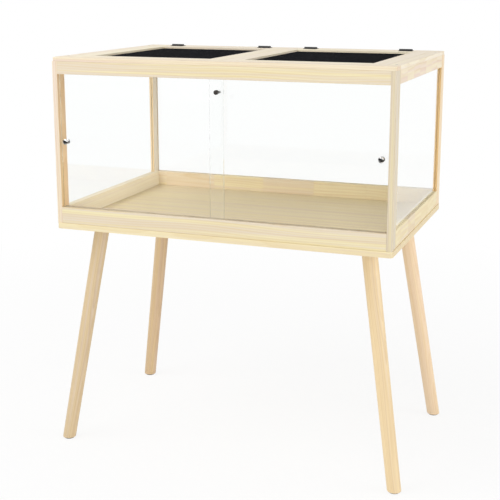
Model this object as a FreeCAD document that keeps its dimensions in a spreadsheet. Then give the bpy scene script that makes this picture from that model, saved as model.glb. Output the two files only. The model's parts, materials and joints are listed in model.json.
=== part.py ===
import FreeCAD, Part
import Sketcher
import os
import re

# A glazed wooden reptile tank on four splayed legs.
# Lengths are in millimetres. X runs along the tank, Y from front to back, Z up.
# The origin is on the floor, under the middle of the tank.

doc = FreeCAD.newDocument("reptile_tank")

SIZES = {
    # The whole tank: its box without the legs, and the height of the box's underside
    "tank_length": 900,
    "tank_depth": 600,
    "tank_height": 450,
    "leg_height": 615,
    # Timber sections
    "base_thickness": 15,
    "base_overhang": 2,
    "base_corner_radius": 10,
    "cap_thickness": 10,
    "cap_corner_radius": 8,
    "cap_front_width": 38,
    "cap_rear_width": 38,
    "cap_side_width": 30,
    "post_width": 14,
    "post_depth": 38,
    "lower_rail_height": 43,
    "upper_rail_height": 33,
    "front_rail_depth": 28,
    "rear_rail_depth": 22,
    "side_rail_depth": 22,
    "edge_round": 1.2,
    "liner_thickness": 1,
    # Battens and bearer under the lids
    "batten_height": 12,
    "batten_ledge": 10,
    "bearer_width": 60,
    # Fixed glass at the sides and the back
    "glass_thickness": 4,
    "glass_setback": 8,
    "glass_rail_seat": 6,
    "glass_post_seat": 4,
    "glass_clearance": 0.3,
    # Sliding glass doors and the tracks that they run in
    "door_thickness": 4,
    "door_setback": 9,
    "door_spacing": 3.5,
    "door_overlap": 40,
    "door_end_gap": 1,
    "door_seat_gap": 0.3,
    "door_top_seat": 6,
    "channel_clearance": 0.5,
    "track_wall": 2.5,
    "track_floor": 1.5,
    "lower_track_height": 6,
    "upper_track_height": 12,
    # Door knobs and the screws that hold them through the glass
    "knob_diameter": 14.5,
    "knob_length": 15,
    "knob_neck_diameter": 8,
    "knob_neck_length": 5,
    "knob_rim_round": 2.5,
    "knob_inset": 19,
    "knob_screw_diameter": 4,
    "knob_screw_depth": 9,
    "knob_screw_head_diameter": 9,
    "knob_screw_head_height": 1.8,
    "bolt_clearance": 0.2,
    # Lock pin through the doors' overlap, in a grommet on the front door
    "lock_drop": 32,
    "bumper_offset": 8.5,
    "bumper_diameter": 6,
    "bumper_thickness": 1.2,
    "lock_offset": 3,
    "lock_pin_diameter": 4.4,
    "lock_pin_reach": 1,
    "lock_head_diameter": 12,
    "lock_head_length": 7,
    "lock_running_gap": 0.3,
    "grommet_wall": 1.5,
    "grommet_flange_diameter": 11,
    "grommet_flange_thickness": 1,
    # Lids
    "lid_seam": 1.5,
    "lid_rest_gap": 0.3,
    "lid_stile_width": 45,
    "lid_rail_width": 45,
    "mesh_thickness": 1.2,
    "mesh_recess": 5.4,
    "mesh_seat": 5,
    "mesh_clearance": 0.2,
    "mesh_wire": 1.6,
    # Lid hinges
    "hinge_length": 38,
    "hinge_inset": 70,
    "hinge_leaf_width": 14,
    "hinge_leaf_thickness": 1.2,
    "hinge_barrel_radius": 2.6,
    "hinge_axis_height": 2.9,
    "hinge_notch": 3.2,
    "hinge_pin_radius": 1,
    "hinge_running_gap": 0.3,
    "hinge_pin_clearance": 0.1,
    "hinge_screw_spacing": 22,
    # Wood screws: the small ones hold the hinges, the long ones the frame
    "small_screw_radius": 1.3,
    "small_screw_head_radius": 2.6,
    "small_screw_length": 8,
    "plate_screw_length": 11,
    "long_screw_radius": 1.8,
    "long_screw_head_radius": 3.6,
    "long_screw_length": 34,
    "screw_clearance": 0.1,
    "cap_screw_inset": 15,
    "cap_screw_from_end": 60,
    "base_screw_inset": 12,
    "base_screw_spread": 150,
    "base_screw_from_end": 50,
    "side_screw_spread": 120,
    # Legs, their plates and bolts
    "leg_inset_along": 80,
    "leg_inset_across": 100,
    "leg_splay_along": 95,
    "leg_splay_across": 60,
    "leg_top_diameter": 41,
    "leg_foot_diameter": 37,
    "leg_foot_chamfer": 2,
    "leg_plate_width": 62,
    "leg_plate_thickness": 2.5,
    "leg_plate_corner": 6,
    "plate_screw_offset": 24,
    "leg_bolt_diameter": 8,
    "leg_bolt_in_leg": 45,
    "leg_bolt_in_base": 8,
    "glide_diameter": 28,
    "glide_thickness": 3,
}

MESH_GAPS_ALONG = 14
MESH_GAPS_ACROSS = 18

ALONG = FreeCAD.Vector(1, 0, 0)
ACROSS = FreeCAD.Vector(0, 1, 0)
UP = FreeCAD.Vector(0, 0, 1)
full_turn = 360
tiny = 1e-6

sheet = doc.addObject("Spreadsheet::Sheet", "sizes")
for row, (alias, size) in enumerate(SIZES.items(), 1):
    sheet.set(f"A{row}", alias)
    sheet.set(f"B{row}", str(size))
    sheet.setAlias(f"B{row}", alias)
doc.recompute()

# Levels and places worked out from the named sizes, as formulas

BASE_TOP = "(leg_height + base_thickness)"
LOWER_TOP = f"({BASE_TOP} + lower_rail_height)"
TOP = "(leg_height + tank_height)"
CAP_UNDER = f"({TOP} - cap_thickness)"
UPPER_UNDER = f"({CAP_UNDER} - upper_rail_height)"
HALF_LENGTH = "(tank_length / 2)"
HALF_DEPTH = "(tank_depth / 2)"
POST_IN = f"({HALF_LENGTH} - post_width)"
RAIL_IN = f"({HALF_LENGTH} - side_rail_depth)"
GROOVE_WIDTH = "(glass_thickness + 2 * glass_clearance)"
GROOVE_FROM_FACE = f"(glass_setback - {GROOVE_WIDTH} / 2)"
FRONT_DOOR_FACE = f"(-{HALF_DEPTH} + door_setback)"
REAR_DOOR_FACE = f"({FRONT_DOOR_FACE} + door_thickness + door_spacing)"
TRACK_FRONT = f"({FRONT_DOOR_FACE} - channel_clearance - track_wall)"
TRACK_DEPTH = "(2 * door_thickness + door_spacing + 2 * channel_clearance + 2 * track_wall)"
DOOR_FOOT = f"({LOWER_TOP} - lower_track_height + track_floor + door_seat_gap)"
DOOR_HEAD = f"({UPPER_UNDER} + door_top_seat)"
DOOR_LENGTH = f"({POST_IN} - door_end_gap + door_overlap / 2)"
KNOB_X = f"({POST_IN} - knob_inset)"
KNOB_Z = f"(({LOWER_TOP} + {UPPER_UNDER}) / 2)"
LOCK_Z = f"({UPPER_UNDER} - lock_drop)"
LID_OUTER = f"({HALF_LENGTH} - cap_side_width - lid_seam)"
LID_INNER = "(lid_seam / 2)"
LID_FRONT = f"(-{HALF_DEPTH} + cap_front_width + lid_seam)"
LID_REAR = f"({HALF_DEPTH} - cap_rear_width - lid_seam)"
LID_THICKNESS = "(cap_thickness - lid_rest_gap)"
MESH_UNDER = f"({TOP} - mesh_recess - mesh_thickness)"
HINGE_Y = f"({HALF_DEPTH} - cap_rear_width - lid_seam / 2)"
HINGE_Z = f"({TOP} + hinge_axis_height)"
LEG_X = f"({HALF_LENGTH} - leg_inset_along)"
LEG_Y = f"({HALF_DEPTH} - leg_inset_across)"
LEG_REACH = "hypot(leg_splay_along; leg_splay_across)"
LEG_TILT = f"atan({LEG_REACH} / leg_height)"

nodes = []


def bound(formula):
    """The formula with every named size pointed at its cell in the sheet."""
    return re.sub(r"[a-z_]+", lambda found: f"sizes.{found[0]}" if found[0] in SIZES else found[0], formula)


def bind(item, **formulas):
    for name, formula in formulas.items():
        item.setExpression(name, bound(formula))


def place(item, corner):
    for axis, formula in zip("xyz", corner):
        item.setExpression(f"Placement.Base.{axis}", bound(formula))


def keep(item, name):
    """Gives a finished piece its own name and puts it on the list of pieces to write."""
    item.Label = name
    nodes.append(item)
    return item


def primitive(kind, name, corner, **formulas):
    """A Part primitive at a place, with its sizes bound."""
    item = doc.addObject(kind, name)
    bind(item, **formulas)
    place(item, corner)
    return item


def box(name, corner, length, width, height):
    return primitive("Part::Box", name, corner, Length=length, Width=width, Height=height)


def rod(name, start, radius, length):
    """A cylinder that lies along X."""
    item = primitive("Part::Cylinder", name, start, Radius=radius, Height=length)
    item.Placement.Rotation = FreeCAD.Rotation(UP, ALONG)
    return item


def fuse(name, parts):
    item = doc.addObject("Part::MultiFuse", name)
    item.Shapes = parts
    return item


def cut(name, base, tool):
    item = doc.addObject("Part::Cut", name)
    item.Base = base
    item.Tool = tool
    return item


def group(name, parts):
    item = doc.addObject("Part::Compound", name)
    item.Links = parts
    return item


def mirrored(item, normal, name):
    """The piece's mirror image across a plane through the origin."""
    other = doc.addObject("Part::Mirroring", name)
    other.Source = item
    other.Normal = normal
    return other


def keep_pair(item, name):
    """Keeps a right-hand piece and its mirror image on the left; the name has a place for the side."""
    keep(item, name.format("right"))
    left = name.format("left")
    keep(mirrored(item, ALONG, f"{left}_image"), left)


def four_ways(name, parts):
    """The pieces of the right-hand rear quarter, and their images in the other three."""
    quarter = group(f"{name}_quarter", parts)
    half = group(f"{name}_half", [quarter, mirrored(quarter, ACROSS, f"{name}_front")])
    return group(name, [half, mirrored(half, ALONG, f"{name}_left")])


def new_body(name, corner):
    body = doc.addObject("PartDesign::Body", name)
    place(body, corner)
    return body


def sketch_on(body, role, level="0"):
    """A sketch on one of the body's own planes, lifted by a level."""
    plane = next(feature for feature in body.Origin.OriginFeatures if feature.Role == role)
    sketch = body.newObject("Sketcher::SketchObject", f"{body.Name}_sketch")
    sketch.AttachmentSupport = [(plane, "")]
    sketch.MapMode = "FlatFace"
    sketch.setExpression("AttachmentOffset.Base.z", bound(level))
    return sketch


def spot(sketch, point):
    """Where a point given by two formulas lies now."""
    return FreeCAD.Vector(*(float(sketch.evalExpression(bound(formula))) for formula in point), 0)


def hold(sketch, geometry, vertex, point):
    """Ties a vertex to its two distances from the sketch's origin."""
    now = spot(sketch, point)
    for kind, distance, formula in (("DistanceX", now.x, point[0]), ("DistanceY", now.y, point[1])):
        rule = Sketcher.Constraint(kind, -1, 1, geometry, vertex, distance)
        index = sketch.addConstraint(rule)
        sketch.setExpression(f"Constraints[{index}]", bound(formula))


def outline(sketch, points):
    """A closed outline through the points."""
    count = len(points)
    start = len(sketch.Geometry)
    spots = [spot(sketch, point) for point in points]
    for number in range(count):
        sketch.addGeometry(Part.LineSegment(spots[number], spots[(number + 1) % count]), False)
    for number, point in enumerate(points):
        here = start + number
        after = start + (number + 1) % count
        sketch.addConstraint(Sketcher.Constraint("Coincident", here, 2, after, 1))
        hold(sketch, here, 1, point)


def rectangle(sketch, along, up, length, height):
    far = f"{along} + {length}"
    high = f"{up} + {height}"
    outline(sketch, [(along, up), (far, up), (far, high), (along, high)])


def circle(sketch, along, up, diameter):
    centre = spot(sketch, (along, up))
    across = spot(sketch, (diameter, "0")).x
    here = sketch.addGeometry(Part.Circle(centre, UP, across / 2), False)
    hold(sketch, here, 3, (along, up))
    index = sketch.addConstraint(Sketcher.Constraint("Diameter", here, across))
    sketch.setExpression(f"Constraints[{index}]", bound(diameter))


def extrude(body, kind, sketch, length, reverse=False):
    """A Pad or a Pocket of the sketch. A Pocket goes against its plane's normal unless reversed."""
    feature = body.newObject(f"PartDesign::{kind}", f"{body.Name}_{kind.lower()}")
    feature.Profile = sketch
    feature.Reversed = reverse
    bind(feature, Length=length)
    return feature


def cut_box(body, corner, length, width, height):
    """Takes a box out of the body; its corner is counted from the body's own corner."""
    along, across, up = corner
    sketch = sketch_on(body, "XY_Plane", up)
    rectangle(sketch, along, across, length, width)
    extrude(body, "Pocket", sketch, height, reverse=True)


def cut_holes(body, centres, diameter, depth):
    """Drills round holes into the body's front face; each centre is counted from its corner."""
    sketch = sketch_on(body, "XZ_Plane")
    for along, up in centres:
        circle(sketch, along, up, diameter)
    extrude(body, "Pocket", sketch, depth)


def round_off(body, radius, wanted):
    """Rounds the body's edges that are wanted."""
    doc.recompute()
    base = body.Tip
    chosen = [f"Edge{number}" for number, edge in enumerate(base.Shape.Edges, 1) if wanted(edge)]
    feature = body.newObject("PartDesign::Fillet", f"{body.Name}_round")
    feature.Base = (base, chosen)
    bind(feature, Radius=radius)


def runs_along(edge, direction):
    ends = [vertex.Point for vertex in edge.Vertexes]
    return len(ends) == 2 and (ends[1] - ends[0]).cross(direction).Length < tiny


def plain_block(name, corner, length, width, height):
    body = new_body(name, corner)
    sketch = sketch_on(body, "XY_Plane")
    rectangle(sketch, "0", "0", length, width)
    extrude(body, "Pad", sketch, height)
    return body


def board(name, corner, length, width, height, grain):
    """A sawn board with its long edges eased; grain is the direction that it runs in."""
    body = plain_block(name, corner, length, width, height)
    round_off(body, "edge_round", lambda edge: runs_along(edge, grain))
    return body


def turned(name, centre, profile, role):
    """A solid of revolution about the upright axis of a sketch on one of its planes."""
    body = new_body(name, centre)
    sketch = sketch_on(body, role)
    outline(sketch, profile)
    feature = body.newObject("PartDesign::Revolution", f"{name}_revolution")
    feature.Profile = sketch
    feature.ReferenceAxis = (sketch, ["V_Axis"])
    feature.Angle = full_turn
    return body


# Countersunk screws, and the same shapes grown by a clearance to cut their holes


def screw(name, head, radius, head_radius, length, upwards, grow):
    """A countersunk screw with its head's face at a place, driven up or down from there."""
    sign = "" if upwards else "-"
    profile = [
        ("0", "0"),
        (f"{head_radius} + {grow}", "0"),
        (f"{radius} + {grow}", f"{sign}({head_radius} - {radius})"),
        (f"{radius} + {grow}", f"{sign}({length} + {grow})"),
        ("0", f"{sign}({length} + {grow})"),
    ]
    return turned(name, head, profile, "XZ_Plane")


def long_screw(name, head, length, upwards, grow):
    return screw(name, head, "long_screw_radius", "long_screw_head_radius", length, upwards, grow)


def frame_screws(name, grow="0"):
    """The screws down through the cap and up through the base board and the leg plates."""
    cap_head = (f"{HALF_LENGTH} - cap_screw_inset", f"{HALF_DEPTH} - cap_screw_from_end", TOP)
    screws = [long_screw(f"{name}_cap", cap_head, "long_screw_length", False, grow)]
    rail_line = f"{HALF_DEPTH} - base_screw_inset"
    base_spots = [
        ("base_screw_spread", rail_line),
        (f"{HALF_LENGTH} - base_screw_from_end", rail_line),
        (f"{HALF_LENGTH} - base_screw_inset", "side_screw_spread"),
    ]
    for number, (along, across) in enumerate(base_spots, 1):
        head = (along, across, "leg_height")
        screws.append(long_screw(f"{name}_base_{number}", head, "long_screw_length", True, grow))
    for number, (along, across) in enumerate((("+", "+"), ("+", "-"), ("-", "+"), ("-", "-")), 1):
        head = (
            f"{LEG_X} {along} plate_screw_offset",
            f"{LEG_Y} {across} plate_screw_offset",
            "leg_height - leg_plate_thickness",
        )
        screws.append(long_screw(f"{name}_plate_{number}", head, "plate_screw_length", True, grow))
    return four_ways(name, screws)


def hinge_screws(name, centre, side, grow="0"):
    """Two screws through one leaf; side is the sign of the leaf's direction from the hinge's axis."""
    screws = []
    for number, sign in enumerate(("-", "+"), 1):
        head = (
            f"{centre} {sign} hinge_screw_spacing / 2",
            f"{HINGE_Y} {side} (hinge_leaf_width + hinge_notch) / 2",
            f"{TOP} + hinge_leaf_thickness",
        )
        screws.append(screw(f"{name}_{number}", head, "small_screw_radius", "small_screw_head_radius",
                            "small_screw_length", False, grow))
    return group(name, screws)


HINGES = (("inner", f"({LID_INNER} + hinge_inset)"), ("outer", f"({LID_OUTER} - hinge_inset)"))

frame_holes = frame_screws("frame_holes", "screw_clearance")
cap_hinge_holes = [
    hinge_screws(f"cap_hinge_holes_{where}", centre, "+", "screw_clearance") for where, centre in HINGES
]
lid_hinge_holes = [
    hinge_screws(f"lid_hinge_holes_{where}", centre, "-", "screw_clearance") for where, centre in HINGES
]
keep(frame_screws("frame_screw_set"), "frame_screws")


# Legs. Each leans outwards, cut level at both ends, and a bolt along its axis holds it to the base

LEG_CORNERS = (
    ("front_left", "-", "-"),
    ("front_right", "+", "-"),
    ("rear_left", "-", "+"),
    ("rear_right", "+", "+"),
)


def leg_section(body, side_x, side_y, level, diameter):
    """The leg's round section at a level above the floor."""
    share = f"(1 - ({level}) / leg_height)"
    sketch = sketch_on(body, "XY_Plane", level)
    circle(sketch, f"{side_x}leg_splay_along * {share}", f"{side_y}leg_splay_across * {share}", diameter)
    return sketch


def leg_bolt(name, side_x, side_y, radius):
    """A bolt on the leg's axis, from inside the leg up into the base board."""
    share = f"leg_bolt_in_leg * sin({LEG_TILT}) / {LEG_REACH}"
    foot = (
        f"{side_x}({LEG_X} + leg_splay_along * {share})",
        f"{side_y}({LEG_Y} + leg_splay_across * {share})",
        f"leg_height - leg_bolt_in_leg * cos({LEG_TILT})",
    )
    height = "leg_bolt_in_leg + leg_bolt_in_base"
    bolt = primitive("Part::Cylinder", name, foot, Radius=radius, Height=height)
    level_axis = FreeCAD.Vector(float(f"{side_y}1"), -float(f"{side_x}1"), 0)
    bolt.Placement.Rotation = FreeCAD.Rotation(level_axis, 1)
    bind(bolt, **{
        "Placement.Rotation.Axis.x": f"{side_y}leg_splay_across / {LEG_REACH}",
        "Placement.Rotation.Axis.y": f"-({side_x}leg_splay_along / {LEG_REACH})",
        "Placement.Rotation.Angle": LEG_TILT,
    })
    return bolt


def make_legs():
    bolts = []
    glides = []
    plates = []
    for corner, side_x, side_y in LEG_CORNERS:
        top_centre = (f"{side_x}{LEG_X}", f"{side_y}{LEG_Y}", "0")
        leg = new_body(f"leg_{corner}_blank", top_centre)
        sections = [
            leg_section(leg, side_x, side_y, "glide_thickness", "leg_foot_diameter - 2 * leg_foot_chamfer"),
            leg_section(leg, side_x, side_y, "glide_thickness + leg_foot_chamfer", "leg_foot_diameter"),
            leg_section(leg, side_x, side_y, "leg_height - leg_plate_thickness", "leg_top_diameter"),
        ]
        loft = leg.newObject("PartDesign::AdditiveLoft", f"leg_{corner}_loft")
        loft.Profile = sections[0]
        loft.Sections = sections[1:]
        loft.Ruled = True
        hole = leg_bolt(f"leg_{corner}_hole", side_x, side_y, "leg_bolt_diameter / 2 + bolt_clearance")
        keep(cut(f"leg_{corner}_cut", leg, hole), f"leg_{corner}")
        bolts.append(leg_bolt(f"leg_{corner}_bolt", side_x, side_y, "leg_bolt_diameter / 2"))
        glides.append(primitive(
            "Part::Cylinder",
            f"glide_{corner}",
            (f"{side_x}({LEG_X} + leg_splay_along)", f"{side_y}({LEG_Y} + leg_splay_across)", "0"),
            Radius="glide_diameter / 2",
            Height="glide_thickness",
        ))
        plate = plain_block(
            f"plate_{corner}_blank",
            (
                f"{side_x}{LEG_X} - leg_plate_width / 2",
                f"{side_y}{LEG_Y} - leg_plate_width / 2",
                "leg_height - leg_plate_thickness",
            ),
            "leg_plate_width",
            "leg_plate_width",
            "leg_plate_thickness",
        )
        round_off(plate, "leg_plate_corner", lambda edge: runs_along(edge, UP))
        plates.append(cut(f"plate_{corner}", plate, group(f"plate_{corner}_holes", [hole, frame_holes])))
    keep(group("bolt_set", bolts), "leg_bolts")
    keep(group("glide_set", glides), "leg_glides")
    keep(group("plate_set", plates), "leg_plates")


make_legs()


# Base board and the liner on it


def make_base():
    base = plain_block(
        "base_blank",
        (f"-{HALF_LENGTH} - base_overhang", f"-{HALF_DEPTH} - base_overhang", "leg_height"),
        "tank_length + 2 * base_overhang",
        "tank_depth + 2 * base_overhang",
        "base_thickness",
    )
    round_off(base, "base_corner_radius", lambda edge: runs_along(edge, UP))
    bolt_holes = [doc.getObject(f"leg_{corner}_hole") for corner, _, _ in LEG_CORNERS]
    keep(cut("base_cut", base, group("base_holes", [frame_holes, *bolt_holes])), "base_board")
    liner = box(
        "liner_box",
        (f"-{RAIL_IN}", f"-{HALF_DEPTH} + front_rail_depth", BASE_TOP),
        f"2 * {RAIL_IN}",
        "tank_depth - front_rail_depth - rear_rail_depth",
        "liner_thickness",
    )
    keep(liner, "floor_liner")


make_base()


# Corner posts, each grooved for the panes of glass that end in it

POST_HEIGHT = f"({CAP_UNDER} - {BASE_TOP})"
POST_GROOVE = "(glass_post_seat + glass_clearance)"
POST_GROOVE_X = f"post_width - {GROOVE_FROM_FACE} - {GROOVE_WIDTH}"


def make_posts():
    front = board("post_front", (POST_IN, f"-{HALF_DEPTH}", BASE_TOP), "post_width", "post_depth",
                  POST_HEIGHT, UP)
    groove_start = (POST_GROOVE_X, f"post_depth - {POST_GROOVE}", "0")
    cut_box(front, groove_start, GROOVE_WIDTH, POST_GROOVE, POST_HEIGHT)
    keep_pair(front, "post_front_{}")
    rear = board("post_rear", (POST_IN, f"{HALF_DEPTH} - post_depth", BASE_TOP), "post_width", "post_depth",
                 POST_HEIGHT, UP)
    cut_box(rear, (POST_GROOVE_X, "0", "0"), GROOVE_WIDTH, POST_GROOVE, POST_HEIGHT)
    back_groove_y = f"post_depth - {GROOVE_FROM_FACE} - {GROOVE_WIDTH}"
    cut_box(rear, ("0", back_groove_y, "0"), POST_GROOVE, GROOVE_WIDTH, POST_HEIGHT)
    keep_pair(rear, "post_rear_{}")


make_posts()


# Rails, in a lower and an upper ring. The side rails lap round the posts' inner faces

RAIL_GROOVE = "(glass_rail_seat + glass_clearance)"
SIDE_LENGTH = "(tank_depth - front_rail_depth - rear_rail_depth)"


def make_rails(ring, level, height, groove_level, track_level):
    """One ring of four rails, with the grooves for the glass and for the door track."""
    span = f"2 * {POST_IN}"
    front = board(f"{ring}_front_blank", (f"-{POST_IN}", f"-{HALF_DEPTH}", level), span, "front_rail_depth",
                  height, ALONG)
    track_start = ("0", f"{TRACK_FRONT} + {HALF_DEPTH}", track_level)
    cut_box(front, track_start, span, TRACK_DEPTH, f"{ring}_track_height")
    keep(cut(f"{ring}_front_cut", front, frame_holes), f"{ring}_rail_front")

    rear = board(f"{ring}_rear_blank", (f"-{POST_IN}", f"{HALF_DEPTH} - rear_rail_depth", level), span,
                 "rear_rail_depth", height, ALONG)
    back_groove_y = f"rear_rail_depth - {GROOVE_FROM_FACE} - {GROOVE_WIDTH}"
    cut_box(rear, ("0", back_groove_y, groove_level), span, GROOVE_WIDTH, RAIL_GROOVE)
    keep(cut(f"{ring}_rear_cut", rear, frame_holes), f"{ring}_rail_rear")

    side = board(f"{ring}_side_blank", (RAIL_IN, f"-{HALF_DEPTH} + front_rail_depth", level),
                 "side_rail_depth", SIDE_LENGTH, height, ACROSS)
    front_lap = "post_depth - front_rail_depth"
    rear_lap = "(post_depth - rear_rail_depth)"
    lap_x = "side_rail_depth - post_width"
    cut_box(side, (lap_x, "0", "0"), "post_width", front_lap, height)
    cut_box(side, (lap_x, f"{SIDE_LENGTH} - {rear_lap}", "0"), "post_width", rear_lap, height)
    groove_x = f"side_rail_depth - {GROOVE_FROM_FACE} - {GROOVE_WIDTH}"
    cut_box(side, (groove_x, "0", groove_level), GROOVE_WIDTH, SIDE_LENGTH, RAIL_GROOVE)
    keep_pair(cut(f"{ring}_side_cut", side, frame_holes), f"{ring}_rail_{{}}")


make_rails("lower", BASE_TOP, "lower_rail_height", f"lower_rail_height - {RAIL_GROOVE}",
           "lower_rail_height - lower_track_height")
make_rails("upper", UPPER_UNDER, "upper_rail_height", "0", "0")


# Top frame, and the battens and the bearer that the lids rest on

BATTEN_UNDER = f"({CAP_UNDER} - batten_height)"
FRONT_BATTEN = "(cap_front_width + lid_seam + batten_ledge - front_rail_depth)"
REAR_BATTEN = "(cap_rear_width + lid_seam + batten_ledge - rear_rail_depth)"
SIDE_BATTEN = "(cap_side_width + lid_seam + batten_ledge - side_rail_depth)"
BATTEN_LENGTH = f"({SIDE_LENGTH} - {FRONT_BATTEN} - {REAR_BATTEN})"
BATTEN_START = f"(-{HALF_DEPTH} + front_rail_depth + {FRONT_BATTEN})"


def make_top():
    front = plain_block("cap_front_blank", (f"-{HALF_LENGTH}", f"-{HALF_DEPTH}", CAP_UNDER),
                        "tank_length", "cap_front_width", "cap_thickness")
    round_off(front, "cap_corner_radius", lambda edge: runs_along(edge, UP) and edge.CenterOfMass.y < tiny)
    keep(front, "cap_front")
    rear = plain_block("cap_rear_blank", (f"-{HALF_LENGTH}", f"{HALF_DEPTH} - cap_rear_width", CAP_UNDER),
                       "tank_length", "cap_rear_width", "cap_thickness")
    round_off(rear, "cap_corner_radius", lambda edge: runs_along(edge, UP) and edge.CenterOfMass.y > tiny)
    left_holes = [mirrored(hole, ALONG, f"{hole.Name}_left") for hole in cap_hinge_holes]
    keep(cut("cap_rear_cut", rear, group("cap_rear_holes", cap_hinge_holes + left_holes)), "cap_rear")
    side_start = (f"{HALF_LENGTH} - cap_side_width", f"-{HALF_DEPTH} + cap_front_width", CAP_UNDER)
    side = box("cap_side_blank", side_start, "cap_side_width",
               "tank_depth - cap_front_width - cap_rear_width", "cap_thickness")
    keep_pair(cut("cap_side_cut", side, frame_holes), "cap_{}")

    side_batten = box("batten_right", (f"{RAIL_IN} - {SIDE_BATTEN}", BATTEN_START, BATTEN_UNDER),
                      SIDE_BATTEN, BATTEN_LENGTH, "batten_height")
    battens = [
        box("batten_front", (f"-{RAIL_IN}", f"-{HALF_DEPTH} + front_rail_depth", BATTEN_UNDER),
            f"2 * {RAIL_IN}", FRONT_BATTEN, "batten_height"),
        box("batten_rear", (f"-{RAIL_IN}", f"{BATTEN_START} + {BATTEN_LENGTH}", BATTEN_UNDER),
            f"2 * {RAIL_IN}", REAR_BATTEN, "batten_height"),
        side_batten,
        mirrored(side_batten, ALONG, "batten_left"),
    ]
    keep(group("batten_set", battens), "lid_battens")
    bearer = box("bearer", ("-bearer_width / 2", BATTEN_START, BATTEN_UNDER), "bearer_width", BATTEN_LENGTH,
                 "batten_height")
    keep(bearer, "centre_bearer")


make_top()


# Fixed glass

GLASS_FOOT = f"({LOWER_TOP} - glass_rail_seat)"
GLASS_HEIGHT = f"({UPPER_UNDER} - {LOWER_TOP} + 2 * glass_rail_seat)"


def make_glass():
    side = box(
        "glass_side",
        (
            f"{HALF_LENGTH} - glass_setback - glass_thickness / 2",
            f"-{HALF_DEPTH} + post_depth - glass_post_seat",
            GLASS_FOOT,
        ),
        "glass_thickness",
        "tank_depth - 2 * post_depth + 2 * glass_post_seat",
        GLASS_HEIGHT,
    )
    keep_pair(side, "glass_{}")
    back = box(
        "back_pane",
        (f"-{POST_IN} - glass_post_seat", f"{HALF_DEPTH} - glass_setback - glass_thickness / 2", GLASS_FOOT),
        f"2 * ({POST_IN} + glass_post_seat)",
        "glass_thickness",
        GLASS_HEIGHT,
    )
    keep(back, "glass_back")


make_glass()


# Door tracks: plastic strips with two channels, let into the front rails

CHANNEL = "(door_thickness + 2 * channel_clearance)"


def make_track(ring, level, channel_level):
    track = plain_block(f"{ring}_track", (f"-{POST_IN}", TRACK_FRONT, level), f"2 * {POST_IN}", TRACK_DEPTH,
                        f"{ring}_track_height")
    channel_height = f"{ring}_track_height - track_floor"
    for across in ("track_wall", f"{TRACK_DEPTH} - track_wall - {CHANNEL}"):
        cut_box(track, ("0", across, channel_level), f"2 * {POST_IN}", CHANNEL, channel_height)
    keep(track, f"door_track_{ring}")


make_track("lower", f"{LOWER_TOP} - lower_track_height", "track_floor")
make_track("upper", UPPER_UNDER, "0")


# Sliding doors with their knobs, and the lock pin through their overlap

DOOR_HEIGHT = f"({DOOR_HEAD} - {DOOR_FOOT})"
GROMMET_HOLE = "(lock_pin_diameter + 2 * lock_running_gap + 2 * grommet_wall)"


def is_rim(edge):
    """Whether an edge is the outer rim of a solid turned about its own Y axis."""
    neck_radius = SIZES["knob_neck_diameter"] / 2
    return isinstance(edge.Curve, Part.Circle) and edge.Curve.Radius > neck_radius + tiny


def make_door(side_name, start, knob_x, face):
    """A pane with a hole for its knob and one for the lock pin, and its knob and knob screw."""
    pane = plain_block(f"door_{side_name}", (start, face, DOOR_FOOT), DOOR_LENGTH, "door_thickness",
                       DOOR_HEIGHT)
    knob_spot = (f"{knob_x} - {start}", f"{KNOB_Z} - {DOOR_FOOT}")
    lock_spot = (f"lock_offset - {start}", f"{LOCK_Z} - {DOOR_FOOT}")
    cut_holes(pane, [knob_spot], "knob_screw_diameter + 2 * bolt_clearance", "door_thickness")
    cut_holes(pane, [lock_spot], GROMMET_HOLE, "door_thickness")
    keep(pane, f"door_{side_name}_glass")

    bore = "knob_screw_diameter / 2 + bolt_clearance"
    bore_end = "-(knob_screw_depth + bolt_clearance)"
    knob = turned(f"knob_{side_name}", (knob_x, face, KNOB_Z), [
        (bore, "0"),
        ("knob_neck_diameter / 2", "0"),
        ("knob_neck_diameter / 2", "-knob_neck_length"),
        ("knob_diameter / 2", "-knob_neck_length"),
        ("knob_diameter / 2", "-knob_length"),
        ("0", "-knob_length"),
        ("0", bore_end),
        (bore, bore_end),
    ], "XY_Plane")
    round_off(knob, "knob_rim_round", is_rim)
    keep(knob, f"door_{side_name}_knob")

    screw_body = turned(f"knob_{side_name}_screw", (knob_x, f"{face} + door_thickness", KNOB_Z), [
        ("0", "knob_screw_head_height"),
        ("knob_screw_head_diameter / 2", "knob_screw_head_height"),
        ("knob_screw_head_diameter / 2", "0"),
        ("knob_screw_diameter / 2", "0"),
        ("knob_screw_diameter / 2", "-(door_thickness + knob_screw_depth)"),
        ("0", "-(door_thickness + knob_screw_depth)"),
    ], "XY_Plane")
    keep(screw_body, f"door_{side_name}_knob_screw")


make_door("left", f"(-{POST_IN} + door_end_gap)", f"(-{KNOB_X})", FRONT_DOOR_FACE)
make_door("right", "(-door_overlap / 2)", KNOB_X, REAR_DOOR_FACE)


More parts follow.
